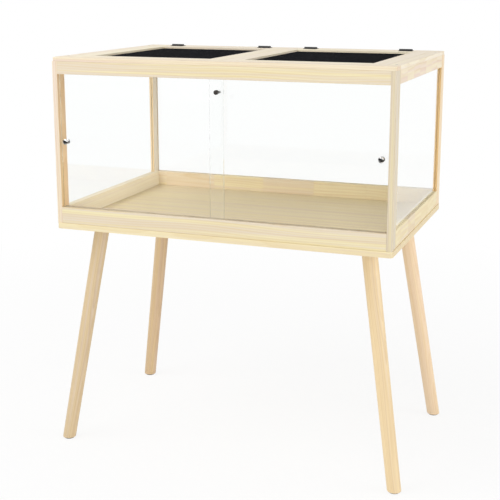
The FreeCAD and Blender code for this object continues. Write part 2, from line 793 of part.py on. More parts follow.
def make_lock():
    sleeve_bore = "(lock_pin_diameter / 2 + lock_running_gap)"
    sleeve_outer = f"({sleeve_bore} + grommet_wall)"
    grommet = turned("grommet", ("lock_offset", FRONT_DOOR_FACE, LOCK_Z), [
        (sleeve_bore, "door_thickness"),
        (sleeve_outer, "door_thickness"),
        (sleeve_outer, "0"),
        ("grommet_flange_diameter / 2", "0"),
        ("grommet_flange_diameter / 2", "-grommet_flange_thickness"),
        (sleeve_bore, "-grommet_flange_thickness"),
    ], "XY_Plane")
    keep(grommet, "lock_grommet")
    head_under = "-(grommet_flange_thickness + lock_running_gap)"
    pin = turned("pin", ("lock_offset", FRONT_DOOR_FACE, LOCK_Z), [
        ("0", "door_thickness + lock_pin_reach"),
        ("lock_pin_diameter / 2", "door_thickness + lock_pin_reach"),
        ("lock_pin_diameter / 2", head_under),
        ("lock_head_diameter / 2", head_under),
        ("lock_head_diameter / 2", f"{head_under} - lock_head_length"),
        ("0", f"{head_under} - lock_head_length"),
    ], "XY_Plane")
    keep(pin, "lock_pin")
    bumper = turned("bumper", ("bumper_offset", REAR_DOOR_FACE, LOCK_Z), [
        ("0", "0"),
        ("bumper_diameter / 2", "0"),
        ("bumper_diameter / 2", "-bumper_thickness"),
        ("0", "-bumper_thickness"),
    ], "XY_Plane")
    keep(bumper, "door_bumper")


make_lock()


# Lids: a wooden frame round a mesh that sits in a rabbet and is held by beads from below

LID_UNDER = f"({TOP} - {LID_THICKNESS})"
LID_LENGTH = f"({LID_OUTER} - {LID_INNER})"
LID_DEPTH = f"({LID_REAR} - {LID_FRONT})"
OPENING_LENGTH = f"({LID_LENGTH} - 2 * lid_stile_width)"
OPENING_DEPTH = f"({LID_DEPTH} - 2 * lid_rail_width)"
OPENING_X = f"({LID_INNER} + lid_stile_width)"
OPENING_Y = f"({LID_FRONT} + lid_rail_width)"
RABBET = f"({LID_THICKNESS} - mesh_recess)"


def make_lid_frame():
    """The two stiles and two rails of the right-hand lid."""
    lid_holes = group("lid_holes", lid_hinge_holes)
    for name, start, rabbet_x in (
        ("inner", LID_INNER, "lid_stile_width - mesh_seat"),
        ("outer", f"({LID_OUTER} - lid_stile_width)", "0"),
    ):
        stile = plain_block(f"stile_{name}", (start, LID_FRONT, LID_UNDER), "lid_stile_width", LID_DEPTH,
                            LID_THICKNESS)
        cut_box(stile, (rabbet_x, "lid_rail_width - mesh_seat", "0"), "mesh_seat",
                f"{OPENING_DEPTH} + 2 * mesh_seat", RABBET)
        keep_pair(cut(f"stile_{name}_cut", stile, lid_holes), f"lid_{{}}_stile_{name}")
    for name, start, rabbet_y in (
        ("front", LID_FRONT, "lid_rail_width - mesh_seat"),
        ("rear", f"({LID_REAR} - lid_rail_width)", "0"),
    ):
        rail = plain_block(f"lid_rail_{name}", (OPENING_X, start, LID_UNDER), OPENING_LENGTH,
                           "lid_rail_width", LID_THICKNESS)
        cut_box(rail, ("0", rabbet_y, "0"), OPENING_LENGTH, "mesh_seat", RABBET)
        keep_pair(cut(f"lid_rail_{name}_cut", rail, lid_holes), f"lid_{{}}_rail_{name}")


def make_mesh():
    """A flat net: one plate with a grid of square gaps over the lid's opening."""
    margin = "(mesh_seat - mesh_clearance)"
    corner = (f"{OPENING_X} - {margin}", f"{OPENING_Y} - {margin}", MESH_UNDER)
    mesh = plain_block("mesh", corner, f"{OPENING_LENGTH} + 2 * {margin}", f"{OPENING_DEPTH} + 2 * {margin}",
                       "mesh_thickness")
    pitch_x = f"({OPENING_LENGTH} / {MESH_GAPS_ALONG})"
    pitch_y = f"({OPENING_DEPTH} / {MESH_GAPS_ACROSS})"
    sketch = sketch_on(mesh, "XY_Plane")
    rectangle(sketch, f"{margin} + mesh_wire / 2", f"{margin} + mesh_wire / 2",
              f"{pitch_x} - mesh_wire", f"{pitch_y} - mesh_wire")
    gap = extrude(mesh, "Pocket", sketch, "mesh_thickness", reverse=True)
    rows = mesh.newObject("PartDesign::MultiTransform", "mesh_gaps")
    rows.Originals = [gap]
    steps = []
    for name, axis, count, pitch in (
        ("mesh_gaps_along", "H_Axis", MESH_GAPS_ALONG, pitch_x),
        ("mesh_gaps_across", "V_Axis", MESH_GAPS_ACROSS, pitch_y),
    ):
        step = mesh.newObject("PartDesign::LinearPattern", name)
        step.Direction = (sketch, [axis])
        step.Occurrences = count
        bind(step, Length=f"{pitch} * {count - 1}")
        steps.append(step)
    rows.Transformations = steps
    mesh.Tip = rows
    keep_pair(mesh, "lid_{}_mesh")


def make_beads():
    height = f"{MESH_UNDER} - {LID_UNDER}"
    long_bead = f"{OPENING_LENGTH} + 2 * mesh_seat"
    beads = [
        box("bead_front", (f"{OPENING_X} - mesh_seat", f"{OPENING_Y} - mesh_seat", LID_UNDER),
            long_bead, "mesh_seat", height),
        box("bead_rear", (f"{OPENING_X} - mesh_seat", f"{OPENING_Y} + {OPENING_DEPTH}", LID_UNDER),
            long_bead, "mesh_seat", height),
        box("bead_inner", (f"{OPENING_X} - mesh_seat", OPENING_Y, LID_UNDER),
            "mesh_seat", OPENING_DEPTH, height),
        box("bead_outer", (f"{OPENING_X} + {OPENING_LENGTH}", OPENING_Y, LID_UNDER),
            "mesh_seat", OPENING_DEPTH, height),
    ]
    keep_pair(group("beads", beads), "lid_{}_beads")


make_lid_frame()
make_mesh()
make_beads()


# Hinges: flat leaves on top of the rear strip and the lid, with knuckles that share a pin

KNUCKLES = 5
KNUCKLE_PITCH = f"(hinge_length / {KNUCKLES})"
KNUCKLE_LENGTH = f"({KNUCKLE_PITCH} - hinge_running_gap)"


def make_leaf(name, centre, side, own, bore, holes):
    """One leaf with its own knuckles; side is the sign of its direction from the axis."""
    start = f"({centre} - hinge_length / 2)"
    near = HINGE_Y if side == "+" else f"({HINGE_Y} - hinge_leaf_width)"
    plate = box(f"{name}_plate", (start, near, TOP), "hinge_length", "hinge_leaf_width",
                "hinge_leaf_thickness")
    notch_y = HINGE_Y if side == "+" else f"({HINGE_Y} - hinge_notch)"
    notch_length = f"{KNUCKLE_PITCH} + hinge_running_gap"
    notches = []
    knuckles = []
    for number in range(KNUCKLES):
        pitch_start = f"{start} + {number} * {KNUCKLE_PITCH}"
        if number % 2 == own:
            knuckle_start = (f"{pitch_start} + hinge_running_gap / 2", HINGE_Y, HINGE_Z)
            knuckle = rod(f"{name}_knuckle_{number}", knuckle_start, "hinge_barrel_radius", KNUCKLE_LENGTH)
            knuckles.append(knuckle)
        else:
            notch_start = (f"{pitch_start} - hinge_running_gap / 2", notch_y, TOP)
            notch = box(f"{name}_notch_{number}", notch_start, notch_length, "hinge_notch",
                        "hinge_leaf_thickness")
            notches.append(notch)
    notched = cut(f"{name}_notched", plate, group(f"{name}_notches", notches))
    solid = fuse(f"{name}_solid", [notched, *knuckles])
    bore_rod = rod(f"{name}_bore", (start, HINGE_Y, HINGE_Z), bore, "hinge_length")
    return cut(name, solid, group(f"{name}_tools", [bore_rod, holes]))


def make_hinges():
    cap_leaves = []
    lid_leaves = []
    cap_screws = []
    lid_screws = []
    for (where, centre), cap_hole, lid_hole in zip(HINGES, cap_hinge_holes, lid_hinge_holes):
        leaf = make_leaf(f"cap_leaf_{where}", centre, "+", 0, "hinge_pin_radius", cap_hole)
        pin_start = (f"{centre} - hinge_length / 2", HINGE_Y, HINGE_Z)
        pin = rod(f"hinge_pin_{where}", pin_start, "hinge_pin_radius", "hinge_length")
        cap_leaves.append(fuse(f"cap_leaf_{where}_pinned", [leaf, pin]))
        lid_leaves.append(make_leaf(f"lid_leaf_{where}", centre, "-", 1,
                                    "hinge_pin_radius + hinge_pin_clearance", lid_hole))
        cap_screws.append(hinge_screws(f"cap_hinge_screws_{where}", centre, "+"))
        lid_screws.append(hinge_screws(f"lid_hinge_screws_{where}", centre, "-"))
    for label, parts in (("hinge_cap_leaves", cap_leaves), ("hinge_cap_screws", cap_screws)):
        right = group(f"{label}_right", parts)
        keep(group(f"{label}_all", [right, mirrored(right, ALONG, f"{label}_left")]), label)
    keep_pair(group("lid_leaf_pair", lid_leaves), "lid_{}_hinge_leaves")
    keep_pair(group("lid_screw_pair", lid_screws), "lid_{}_hinge_screws")


make_hinges()


# Checks, and one file for each piece

doc.recompute()
for item in doc.Objects:
    if "Invalid" in item.State or "Error" in item.State:
        raise RuntimeError(f"{item.Name}: {item.State}")
os.makedirs("parts", exist_ok=True)
for node in nodes:
    if node.Shape.isNull() or not node.Shape.isValid():
        raise RuntimeError(f"{node.Label}: no valid shape")
    node.Shape.exportStep(f"parts/{node.Label}.step")
print(len(nodes), "pieces written")
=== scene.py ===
# %% [markdown]
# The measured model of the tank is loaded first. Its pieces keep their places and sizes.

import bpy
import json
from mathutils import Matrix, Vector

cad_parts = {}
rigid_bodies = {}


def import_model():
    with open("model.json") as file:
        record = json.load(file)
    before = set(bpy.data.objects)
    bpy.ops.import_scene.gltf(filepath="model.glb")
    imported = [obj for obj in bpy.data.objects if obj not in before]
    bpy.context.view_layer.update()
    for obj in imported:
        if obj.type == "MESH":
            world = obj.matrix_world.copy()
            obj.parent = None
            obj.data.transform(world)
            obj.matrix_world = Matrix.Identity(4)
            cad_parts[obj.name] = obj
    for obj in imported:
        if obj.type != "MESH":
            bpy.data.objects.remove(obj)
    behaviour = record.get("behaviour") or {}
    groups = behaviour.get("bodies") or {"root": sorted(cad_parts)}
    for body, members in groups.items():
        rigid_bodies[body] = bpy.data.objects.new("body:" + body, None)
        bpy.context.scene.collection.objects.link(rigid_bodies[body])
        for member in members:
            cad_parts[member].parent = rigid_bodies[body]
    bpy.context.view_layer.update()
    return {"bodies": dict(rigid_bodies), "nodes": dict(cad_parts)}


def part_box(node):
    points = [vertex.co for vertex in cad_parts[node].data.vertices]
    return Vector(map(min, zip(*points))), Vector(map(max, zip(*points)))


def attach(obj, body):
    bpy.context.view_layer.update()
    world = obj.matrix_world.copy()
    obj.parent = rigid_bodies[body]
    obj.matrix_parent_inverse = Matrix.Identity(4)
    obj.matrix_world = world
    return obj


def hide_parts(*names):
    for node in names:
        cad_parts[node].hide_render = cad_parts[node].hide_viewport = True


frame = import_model()
nodes = frame["nodes"]

# %% [markdown]
# Lengths are in metres, so a millimetre gets a name of its own. The corners of the tank and the
# height of its top are read from the measured pieces, not typed in again.

# %% Units and main planes
import json
import math

import bmesh
import bpy
from mathutils import Euler, Matrix, Vector

MM = 0.001
AXES = {"x": Vector((1, 0, 0)), "y": Vector((0, 1, 0)), "z": Vector((0, 0, 1))}
TO_FRONT = -AXES["y"]

tank_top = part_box("cap_rear")[1].z
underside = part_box("base_board")[0].z
print("top of the tank at", round(tank_top / MM), "mm, underside at", round(underside / MM), "mm")

# %% [markdown]
# The camera stands in front of the tank, to its right and a little above it. Its lens and its
# small upright shift come from fitting the tank's straight edges to the picture that the part was
# measured from, so it is set in plain numbers and aimed by its own rotation.

# %% Camera
CAMERA_PLACE = Vector((0.9698, -2.6477, 1.2502))
CAMERA_YAW = 0.3574
CAMERA_PITCH = -0.2142
SENSOR_WIDTH = 36
FOCAL_LENGTH = 75.1
LENS_SHIFT = -0.08
FARTHEST_SEEN = 50

camera_data = bpy.data.cameras.new("camera")
camera_data.sensor_width = SENSOR_WIDTH
camera_data.lens = FOCAL_LENGTH
camera_data.shift_y = LENS_SHIFT
camera_data.clip_end = FARTHEST_SEEN
camera = bpy.data.objects.new("camera", camera_data)
camera.location = CAMERA_PLACE
camera.rotation_euler = Euler((math.pi / 2 + CAMERA_PITCH, 0, CAMERA_YAW))
bpy.context.scene.collection.objects.link(camera)
bpy.context.scene.camera = camera
bpy.context.scene.view_settings.view_transform = "Standard"
print("camera", round(camera_data.lens), "mm lens")

# %% [markdown]
# A material is a tree of nodes. These short helpers keep the trees readable: one adds a node with
# its settings and its inputs in a single call, where an input may be a number, a colour or another
# node's output, and the others add the kinds of node that are needed most and give their output.

# %% Node helpers
FLOAT = "NodeSocketFloat"
COLOUR = "NodeSocketColor"
VECTOR = "NodeSocketVector"


def fill(tree, socket, value):
    """Links another node's output to a socket, or sets the socket's own value."""
    if isinstance(value, bpy.types.NodeSocket):
        tree.links.new(value, socket)
    else:
        socket.default_value = value


def add_node(tree, kind, inputs=(), **settings):
    """A node of a kind, with its settings made and its inputs set or linked."""
    node = tree.nodes.new(kind)
    for name, value in settings.items():
        setattr(node, name, value)
    for name, value in dict(inputs).items():
        fill(tree, node.inputs[name], value)
    return node


def math_node(tree, operation, *values):
    node = add_node(tree, "ShaderNodeMath", dict(enumerate(values)), operation=operation)
    return node.outputs[0]


def vector_node(tree, operation, *values, output="Vector"):
    node = add_node(tree, "ShaderNodeVectorMath", dict(enumerate(values)), operation=operation)
    return node.outputs[output]


def vector_of(tree, **parts):
    """A vector from its parts X, Y and Z; a part that isn't named is zero."""
    return add_node(tree, "ShaderNodeCombineXYZ", parts).outputs[0]


def map_range(tree, value, low=0.0, high=1.0, to_low=0.0, to_high=1.0):
    """A value scaled from one range to another, and held inside it."""
    ranges = {"From Min": low, "From Max": high, "To Min": to_low, "To Max": to_high}
    return add_node(tree, "ShaderNodeMapRange", {"Value": value, **ranges}).outputs["Result"]


def noise(tree, place, scale, detail, output="Fac"):
    node = add_node(tree, "ShaderNodeTexNoise", {"Vector": place, "Scale": scale, "Detail": detail})
    return node.outputs[output]


def random_of(tree, number):
    """The outputs of a node that gives each number its own random value and colour."""
    return add_node(tree, "ShaderNodeTexWhiteNoise", {"W": number}, noise_dimensions="1D").outputs


def ramp_node(tree, factor, stops):
    """A colour ramp; each stop is a place and a colour."""
    node = add_node(tree, "ShaderNodeValToRGB", {"Fac": factor})
    elements = node.color_ramp.elements
    while len(elements) < len(stops):
        elements.new(0.5)
    for element, (place, colour) in zip(elements, stops):
        element.position = place
        element.color = (*colour, 1)
    return node.outputs["Color"]


def mix_colours(tree, factor, first, second, blend="MIX"):
    node = add_node(tree, "ShaderNodeMix", data_type="RGBA", blend_type=blend)
    for name, value in (("Factor_Float", factor), ("A_Color", first), ("B_Color", second)):
        fill(tree, next(s for s in node.inputs if s.identifier == name), value)
    return next(s for s in node.outputs if s.identifier == "Result_Color")


print("node helpers ready")

# %% [markdown]
# The next helpers make whole materials and groups. A group holds what several materials share. The
# Principled shader, the rays that a surface asks about and the mixing of two shaders stay in each
# material, because a model file can't carry them inside a group.

# %% Material helpers
def new_material(name, **shader):
    """A material with a Principled shader; constants go straight onto the shader's sockets."""
    material = bpy.data.materials.new(name)
    material.use_nodes = True
    tree = material.node_tree
    principled = tree.nodes["Principled BSDF"]
    for socket, value in shader.items():
        principled.inputs[socket.replace("_", " ")].default_value = value
    return material, tree, principled


def new_group(name, inputs, outputs):
    """A shader node group; inputs are name, socket type and value, outputs name and type."""
    group = bpy.data.node_groups.new(name, "ShaderNodeTree")
    for label, kind, value in inputs:
        socket = group.interface.new_socket(label, in_out="INPUT", socket_type=kind)
        if value is not None:
            socket.default_value = value
    for label, kind in outputs:
        group.interface.new_socket(label, in_out="OUTPUT", socket_type=kind)
    source = group.nodes.new("NodeGroupInput")
    sink = group.nodes.new("NodeGroupOutput")
    return group, source.outputs, sink.inputs


def object_place(tree):
    """Where a point lies on its piece, which stays the same when the piece moves."""
    return tree.nodes.new("ShaderNodeTexCoord").outputs["Object"]


def turned_to(tree, direction):
    """How much the surface faces a direction: 1 towards it, 0 across it, -1 away from it."""
    normal = tree.nodes.new("ShaderNodeNewGeometry").outputs["Normal"]
    return vector_node(tree, "DOT_PRODUCT", normal, tuple(direction), output="Value")


def seen_by_eye(tree):
    """1 for a ray from the camera, through glass or off a mirror, and 0 for the light's own rays."""
    path = tree.nodes.new("ShaderNodeLightPath").outputs
    seen = math_node(tree, "MAXIMUM", path["Is Camera Ray"], path["Is Transmission Ray"])
    return math_node(tree, "MAXIMUM", seen, path["Is Glossy Ray"])


def mix_surface(tree, share, first, second):
    """Mixes two shader nodes and gives the result to the material's surface."""
    mixed = add_node(tree, "ShaderNodeMixShader", {0: share, 1: first.outputs[0], 2: second.outputs[0]})
    tree.links.new(mixed.outputs[0], tree.nodes["Material Output"].inputs["Surface"])


def raise_surface(tree, principled, height, depth, **settings):
    """A bump: the height, from 0 to 1, is as deep as the depth says."""
    bump = add_node(tree, "ShaderNodeBump", {"Height": height, "Distance": depth, **settings})
    tree.links.new(bump.outputs[0], principled.inputs["Normal"])


print("material helpers ready")

# %% [markdown]
# The tank stands on a pale floor in a white room. The white that the camera, the glass and the
# chrome see comes from the world's own colour, while the lamps and a weaker world light the wood.
# The floor keeps the soft shadow of the legs: it is a plain diffuse sheet whose edge fades into
# the white of the room.

# %% Floor and room
WHITE = (1, 1, 1, 1)
FLOOR_COLOUR = (0.93, 0.93, 0.93, 1)
FLOOR_ROUGHNESS = 0.9
FLOOR_SIZE = 14
ROOM_LIGHT = 0.62
FLOOR_FADE_START = 0.6
FLOOR_FADE_END = 2.4
FLOOR_GLOW = 0.85

world = bpy.data.worlds.new("room")
bpy.context.scene.world = world
world.use_nodes = True
room = world.node_tree
room.nodes.clear()
strength = map_range(room, seen_by_eye(room), to_low=ROOM_LIGHT)
background = add_node(room, "ShaderNodeBackground", {"Strength": strength, "Color": WHITE})
add_node(room, "ShaderNodeOutputWorld", {"Surface": background.outputs[0]})

floor_mesh = bpy.data.meshes.new("floor")
half = FLOOR_SIZE / 2
corners = [(x * half, y * half, 0) for x, y in ((-1, -1), (1, -1), (1, 1), (-1, 1))]
floor_mesh.from_pydata(corners, [], [(0, 1, 2, 3)])
floor = bpy.data.objects.new("floor", floor_mesh)
bpy.context.scene.collection.objects.link(floor)
floor_material, tree, principled = new_material(
    "floor", Base_Color=FLOOR_COLOUR, Roughness=FLOOR_ROUGHNESS,
)
distance = vector_node(tree, "LENGTH", object_place(tree), output="Value")
fade = map_range(tree, distance, FLOOR_FADE_START, FLOOR_FADE_END, to_low=FLOOR_GLOW)
white_share = math_node(tree, "MULTIPLY", fade, seen_by_eye(tree))
glow = add_node(tree, "ShaderNodeEmission", {"Color": WHITE, "Strength": 1.0})
mix_surface(tree, white_share, principled, glow)
floor_mesh.materials.append(floor_material)
print("floor", FLOOR_SIZE, "m across")

# %% [markdown]
# Three large soft lamps light the tank as in a studio: the strongest above and to the left, a
# weaker one in front, and one from the right, so that the short side stays a little darker.

# %% Lamps
LAMPS = (
    # name, place, size in metres, power in watts
    ("key", (-1.8, -1.6, 3.2), 2.2, 42),
    ("front", (0.9, -3.4, 1.6), 2.4, 24),
    ("side", (3.2, 0.1, 1.2), 1.6, 23),
)
TANK_MIDDLE = Vector((0, 0, (underside + tank_top) / 2))

for name, place, size, power in LAMPS:
    lamp_data = bpy.data.lights.new(name, "AREA")
    lamp_data.size = size
    lamp_data.energy = power
    lamp = bpy.data.objects.new(name, lamp_data)
    lamp.location = place
    lamp.rotation_euler = (TANK_MIDDLE - lamp.location).to_track_quat("-Z", "Y").to_euler()
    lamp.visible_camera = False
    bpy.context.scene.collection.objects.link(lamp)
print(len(LAMPS), "lamps")

# %% [markdown]
# The timber is a pale softwood, and its pattern is a group that every board shares. The grain runs
# along the group's X axis, and the inputs say what differs from board to board. Some rails are
# glued up from short blocks: each block shifts the pattern, changes the tone a little, and ends in
# a thin joint line, so the group first finds the block that a point lies in.

# %% Timber group and its glued blocks
JOINT_LINE = 0.5 * MM
JOINT_DARKNESS = 0.45
BLOCK_SHIFT = 0.04

timber, given, result = new_group(
    "timber_grain",
    [
        ("Vector", VECTOR, None),
        ("Early Wood", COLOUR, (0.8, 0.6, 0.4, 1)),
        ("Late Wood", COLOUR, (0.7, 0.45, 0.25, 1)),
        ("Grey Wood", COLOUR, (0.8, 0.72, 0.6, 1)),
        ("Ring Width", FLOAT, 0.006),
        ("Ring Contrast", FLOAT, 0.5),
        ("Heart Distance", FLOAT, 0.09),
        ("Shift", FLOAT, 0.0),
        ("Block Length", FLOAT, 10.0),
        ("Roughness", FLOAT, 0.5),
    ],
    [("Color", COLOUR), ("Roughness", FLOAT), ("Height", FLOAT)],
)
along = add_node(timber, "ShaderNodeSeparateXYZ", {"Vector": given["Vector"]}).outputs["X"]
blocks_along = math_node(timber, "DIVIDE", along, given["Block Length"])
block_place = math_node(timber, "ADD", blocks_along, 0.5)
block = math_node(timber, "ADD", math_node(timber, "FLOOR", block_place), given["Shift"])
block_random = random_of(timber, block)
share_of_block = math_node(timber, "PINGPONG", block_place, 0.5)
from_joint = math_node(timber, "MULTIPLY", share_of_block, given["Block Length"])
joint = map_range(timber, from_joint, high=JOINT_LINE, to_low=JOINT_DARKNESS, to_high=0.0)
block_shift = vector_node(timber, "MULTIPLY", block_random["Color"], (0.0, BLOCK_SHIFT, BLOCK_SHIFT))
shift = vector_of(timber, X=given["Shift"], Z=given["Heart Distance"])
both_shifts = vector_node(timber, "ADD", shift, block_shift)
moved = vector_node(timber, "ADD", given["Vector"], both_shifts)
print("timber group finds its blocks with", len(timber.nodes), "nodes")

# %% [markdown]
# A trunk grows in rings, and a board is a slice through them, so the pattern is built from the
# rings themselves: the distance from a far-off heart line, bent by slow noise, is cut into bands
# that are pale with a darker, thinner late edge. Where a board's face lies along the rings they
# open into long flames, and on its edge they are straight lines.

# %% Rings of the trunk
BEND_REACH = 0.05
# how often the bend repeats along X, and across in Y and Z, in each metre
BEND_STRETCH = (1.6, 7.0, 7.0)
RING_TONES = ((0.0, 0.0), (0.35, 0.1), (0.8, 0.75), (0.93, 1.0), (1.0, 0.0))
WEAKEST_RING = 0.35


def grain_noise(place, stretch, detail, output="Fac"):
    """Noise that is stretched along the grain."""
    return noise(timber, vector_node(timber, "MULTIPLY", place, stretch), 1.0, detail, output)


bend = grain_noise(moved, BEND_STRETCH, 2.0, "Color")
bend_offset = vector_node(timber, "SUBTRACT", bend, (0.5, 0.5, 0.5))
bend_amount = vector_node(timber, "MULTIPLY", bend_offset, (0.0, BEND_REACH, BEND_REACH))
bent = vector_node(timber, "ADD", moved, bend_amount)
across = vector_node(timber, "MULTIPLY", bent, (0.0, 1.0, 1.0))
radius = vector_node(timber, "LENGTH", across, output="Value")
rings = math_node(timber, "DIVIDE", radius, given["Ring Width"])
ring_place = math_node(timber, "FRACT", rings)
ring_shape = ramp_node(timber, ring_place, [(place, (tone,) * 3) for place, tone in RING_TONES])
ring_random = random_of(timber, math_node(timber, "FLOOR", rings))
ring_weight = map_range(timber, ring_random["Value"], to_low=WEAKEST_RING)
late = math_node(timber, "MULTIPLY", ring_shape, ring_weight)
print("rings with", len(RING_TONES), "tones each")

# %% [markdown]
# Very long, thin noise adds the fibres, and slower streaks drift between the cream and the greyer
# tone of the wood. The fibres also make the surface a little rough, and the hard late edges of the
# rings stand up from it by a hair.

# %% Fibres, streaks and tones
FIBRE_STRETCH = (14.0, 900.0, 900.0)
STREAK_STRETCH = (3.0, 120.0, 120.0)
DRIFT_STRETCH = (0.9, 105.0, 105.0)
STREAK_RANGE = (0.35, 0.7)
STREAK_SHARE = 0.28
FIBRE_SHARE = 0.16
BLOCK_TONE_SHARE = 0.35
GREY_RANGE = (0.42, 0.58)
ROUGHNESS_SPREAD = 0.16
RING_RELIEF = 0.4

fibre = grain_noise(moved, FIBRE_STRETCH, 3.0)
streak = map_range(timber, grain_noise(moved, STREAK_STRETCH, 2.0), *STREAK_RANGE)
late_amount = math_node(timber, "MULTIPLY", late, given["Ring Contrast"])
streaked = math_node(timber, "MULTIPLY_ADD", streak, STREAK_SHARE, late_amount)
fibred = math_node(timber, "MULTIPLY_ADD", fibre, FIBRE_SHARE, streaked)
jointed = math_node(timber, "ADD", fibred, joint)
amount = math_node(timber, "SUBTRACT", jointed, FIBRE_SHARE / 2)
late_share = add_node(timber, "ShaderNodeClamp", {"Value": amount}).outputs[0]
drift = grain_noise(moved, DRIFT_STRETCH, 1.0)
block_tone = math_node(timber, "SUBTRACT", block_random["Value"], 0.5)
drifted = math_node(timber, "MULTIPLY_ADD", block_tone, BLOCK_TONE_SHARE, drift)
grey_share = map_range(timber, drifted, *GREY_RANGE)
early_tone = mix_colours(timber, grey_share, given["Early Wood"], given["Grey Wood"])
rough = math_node(timber, "MULTIPLY_ADD", fibre, ROUGHNESS_SPREAD, given["Roughness"])
fill(timber, result["Color"], mix_colours(timber, late_share, early_tone, given["Late Wood"]))
fill(timber, result["Roughness"], math_node(timber, "SUBTRACT", rough, ROUGHNESS_SPREAD / 2))
fill(timber, result["Height"], math_node(timber, "MULTIPLY_ADD", late, RING_RELIEF, fibre))
print("timber group with", len(timber.nodes), "nodes")

# %% [markdown]
# Each board gets its own material, so that no two show the same piece of the pattern. A Mapping
# node puts the pattern's origin at the board's middle and turns it: the grain goes to X, and the
# way to the trunk's heart goes to Z. End grain shows the rings cut square, darker and duller, so a
# mask reads how much the surface faces along the grain. Some posts also get painted shade: one of
# their faces, chosen by the direction that it looks, is tinted darker and warmer.

# %% Timber material
WOOD_GLOSS = 0.35
END_GRAIN_RANGE = (0.7, 0.95)
END_GRAIN_SHARE = 0.35
GRAIN_DEPTH = 0.12 * MM
GRAIN_STRENGTH = 0.6
SHADED_FACE_RANGE = (0.6, 0.9)
SHADED_FACE_SHARE = 0.9
SHADED_FACE_TINT = (1.06, 0.88, 0.60, 1)


def timber_material(name, centre, grain, heart_way, tones, pattern_values, shaded_face_side=None):
    """A timber finish: the grain runs along one direction, the trunk's heart lies along another."""
    early, late, grey = ((*tone, 1) for tone in tones)
    material, tree, principled = new_material(name, Specular_IOR_Level=WOOD_GLOSS)
    turn = Matrix((grain, heart_way.cross(grain), heart_way))
    mapping = add_node(tree, "ShaderNodeMapping", {
        "Vector": object_place(tree), "Rotation": turn.to_euler(), "Location": -(turn @ centre),
    })
    values = {"Early Wood": early, "Late Wood": late, "Grey Wood": grey, **pattern_values}
    pattern = add_node(
        tree, "ShaderNodeGroup", {"Vector": mapping.outputs[0], **values}, node_tree=timber,
    ).outputs
    facing = math_node(tree, "ABSOLUTE", turned_to(tree, grain))
    end_share = map_range(tree, facing, *END_GRAIN_RANGE, to_high=END_GRAIN_SHARE)
    shade = mix_colours(tree, end_share, pattern["Color"], late)
    # painted shade: the face that looks along the given side is tinted darker and warmer
    if shaded_face_side:
        shaded_face_share = map_range(tree, turned_to(tree, shaded_face_side), *SHADED_FACE_RANGE, to_high=SHADED_FACE_SHARE)
        shade = mix_colours(tree, shaded_face_share, shade, SHADED_FACE_TINT, blend="MULTIPLY")
    tree.links.new(shade, principled.inputs["Base Color"])
    tree.links.new(pattern["Roughness"], principled.inputs["Roughness"])
    raise_surface(tree, principled, pattern["Height"], GRAIN_DEPTH, Strength=GRAIN_STRENGTH)
    return material


print("timber material ready")

# %% [markdown]
# The boards of the real tank come from several planks, so their tone differs a little from one to
# the next: the front is cream, the top whiter, the rear posts and the inner sides warmer. The list
# gives each board its grain direction, the way to the trunk's heart and its tone. With the heart
# in the plane of the board's face the rings make straight lines; with it behind the face, flames.

# %% Finish of every board
TONES = {
    # tone: early wood, late wood, grey wood
    "cream": ((0.88, 0.79, 0.51), (0.72, 0.55, 0.28), (0.80, 0.70, 0.56)),
    "white": ((0.95, 0.87, 0.68), (0.80, 0.66, 0.43), (0.91, 0.81, 0.67)),
    "sandy": ((0.90, 0.79, 0.51), (0.74, 0.56, 0.30), (0.84, 0.72, 0.54)),
    "rosy": ((0.90, 0.80, 0.60), (0.74, 0.55, 0.34), (0.86, 0.72, 0.62)),
    "olive": ((0.80, 0.70, 0.46), (0.62, 0.48, 0.27), (0.74, 0.66, 0.54)),
    "warm": ((0.92, 0.76, 0.50), (0.74, 0.52, 0.28), (0.90, 0.70, 0.52)),
}
BOARDS = {
    # board: grain, way to the heart, tone
    "post_front_left": ("z", "x", "rosy"), "post_front_right": ("z", "x", "olive"),
    "post_rear_left": ("z", "x", "white"), "post_rear_right": ("z", "x", "warm"),
    "lower_rail_front": ("x", "z", "cream"), "lower_rail_rear": ("x", "y", "sandy"),
    "lower_rail_left": ("y", "z", "white"), "lower_rail_right": ("y", "x", "sandy"),
    "upper_rail_front": ("x", "z", "cream"), "upper_rail_rear": ("x", "y", "cream"),
    "upper_rail_left": ("y", "z", "cream"), "upper_rail_right": ("y", "x", "rosy"),
    "lid_battens": ("x", "y", "cream"), "centre_bearer": ("y", "z", "cream"),
    "base_board": ("x", "y", "sandy"),
    "cap_front": ("x", "z", "rosy"), "cap_rear": ("x", "z", "white"),
    "cap_left": ("y", "z", "white"), "cap_right": ("y", "x", "white"),
    "lid_left_rail_front": ("x", "y", "white"), "lid_left_rail_rear": ("x", "z", "white"),
    "lid_left_stile_inner": ("y", "x", "white"), "lid_left_stile_outer": ("y", "z", "white"),
    "lid_right_rail_front": ("x", "z", "white"), "lid_right_rail_rear": ("x", "y", "white"),
    "lid_right_stile_inner": ("y", "z", "white"), "lid_right_stile_outer": ("y", "x", "white"),
    "lid_left_beads": ("x", "z", "cream"), "lid_right_beads": ("x", "z", "cream"),
}
# posts with painted shade, and the direction of the face that it darkens
SHADED_FACE_SIDES = {
    "post_front_left": AXES["x"], "post_rear_left": TO_FRONT, "post_rear_right": TO_FRONT,
}
GLUED_BLOCKS = {
    # rail: length of the blocks that it is glued up from
    "upper_rail_right": 0.075, "lower_rail_right": 0.085, "upper_rail_left": 0.09,
    "centre_bearer": 0.11, "lower_rail_rear": 0.16,
}
ONE_PIECE = 10.0
SHIFT_STEP = 3.7
HEART_NEAREST = 0.03
HEART_STEP = 0.012
HEART_KINDS = 5

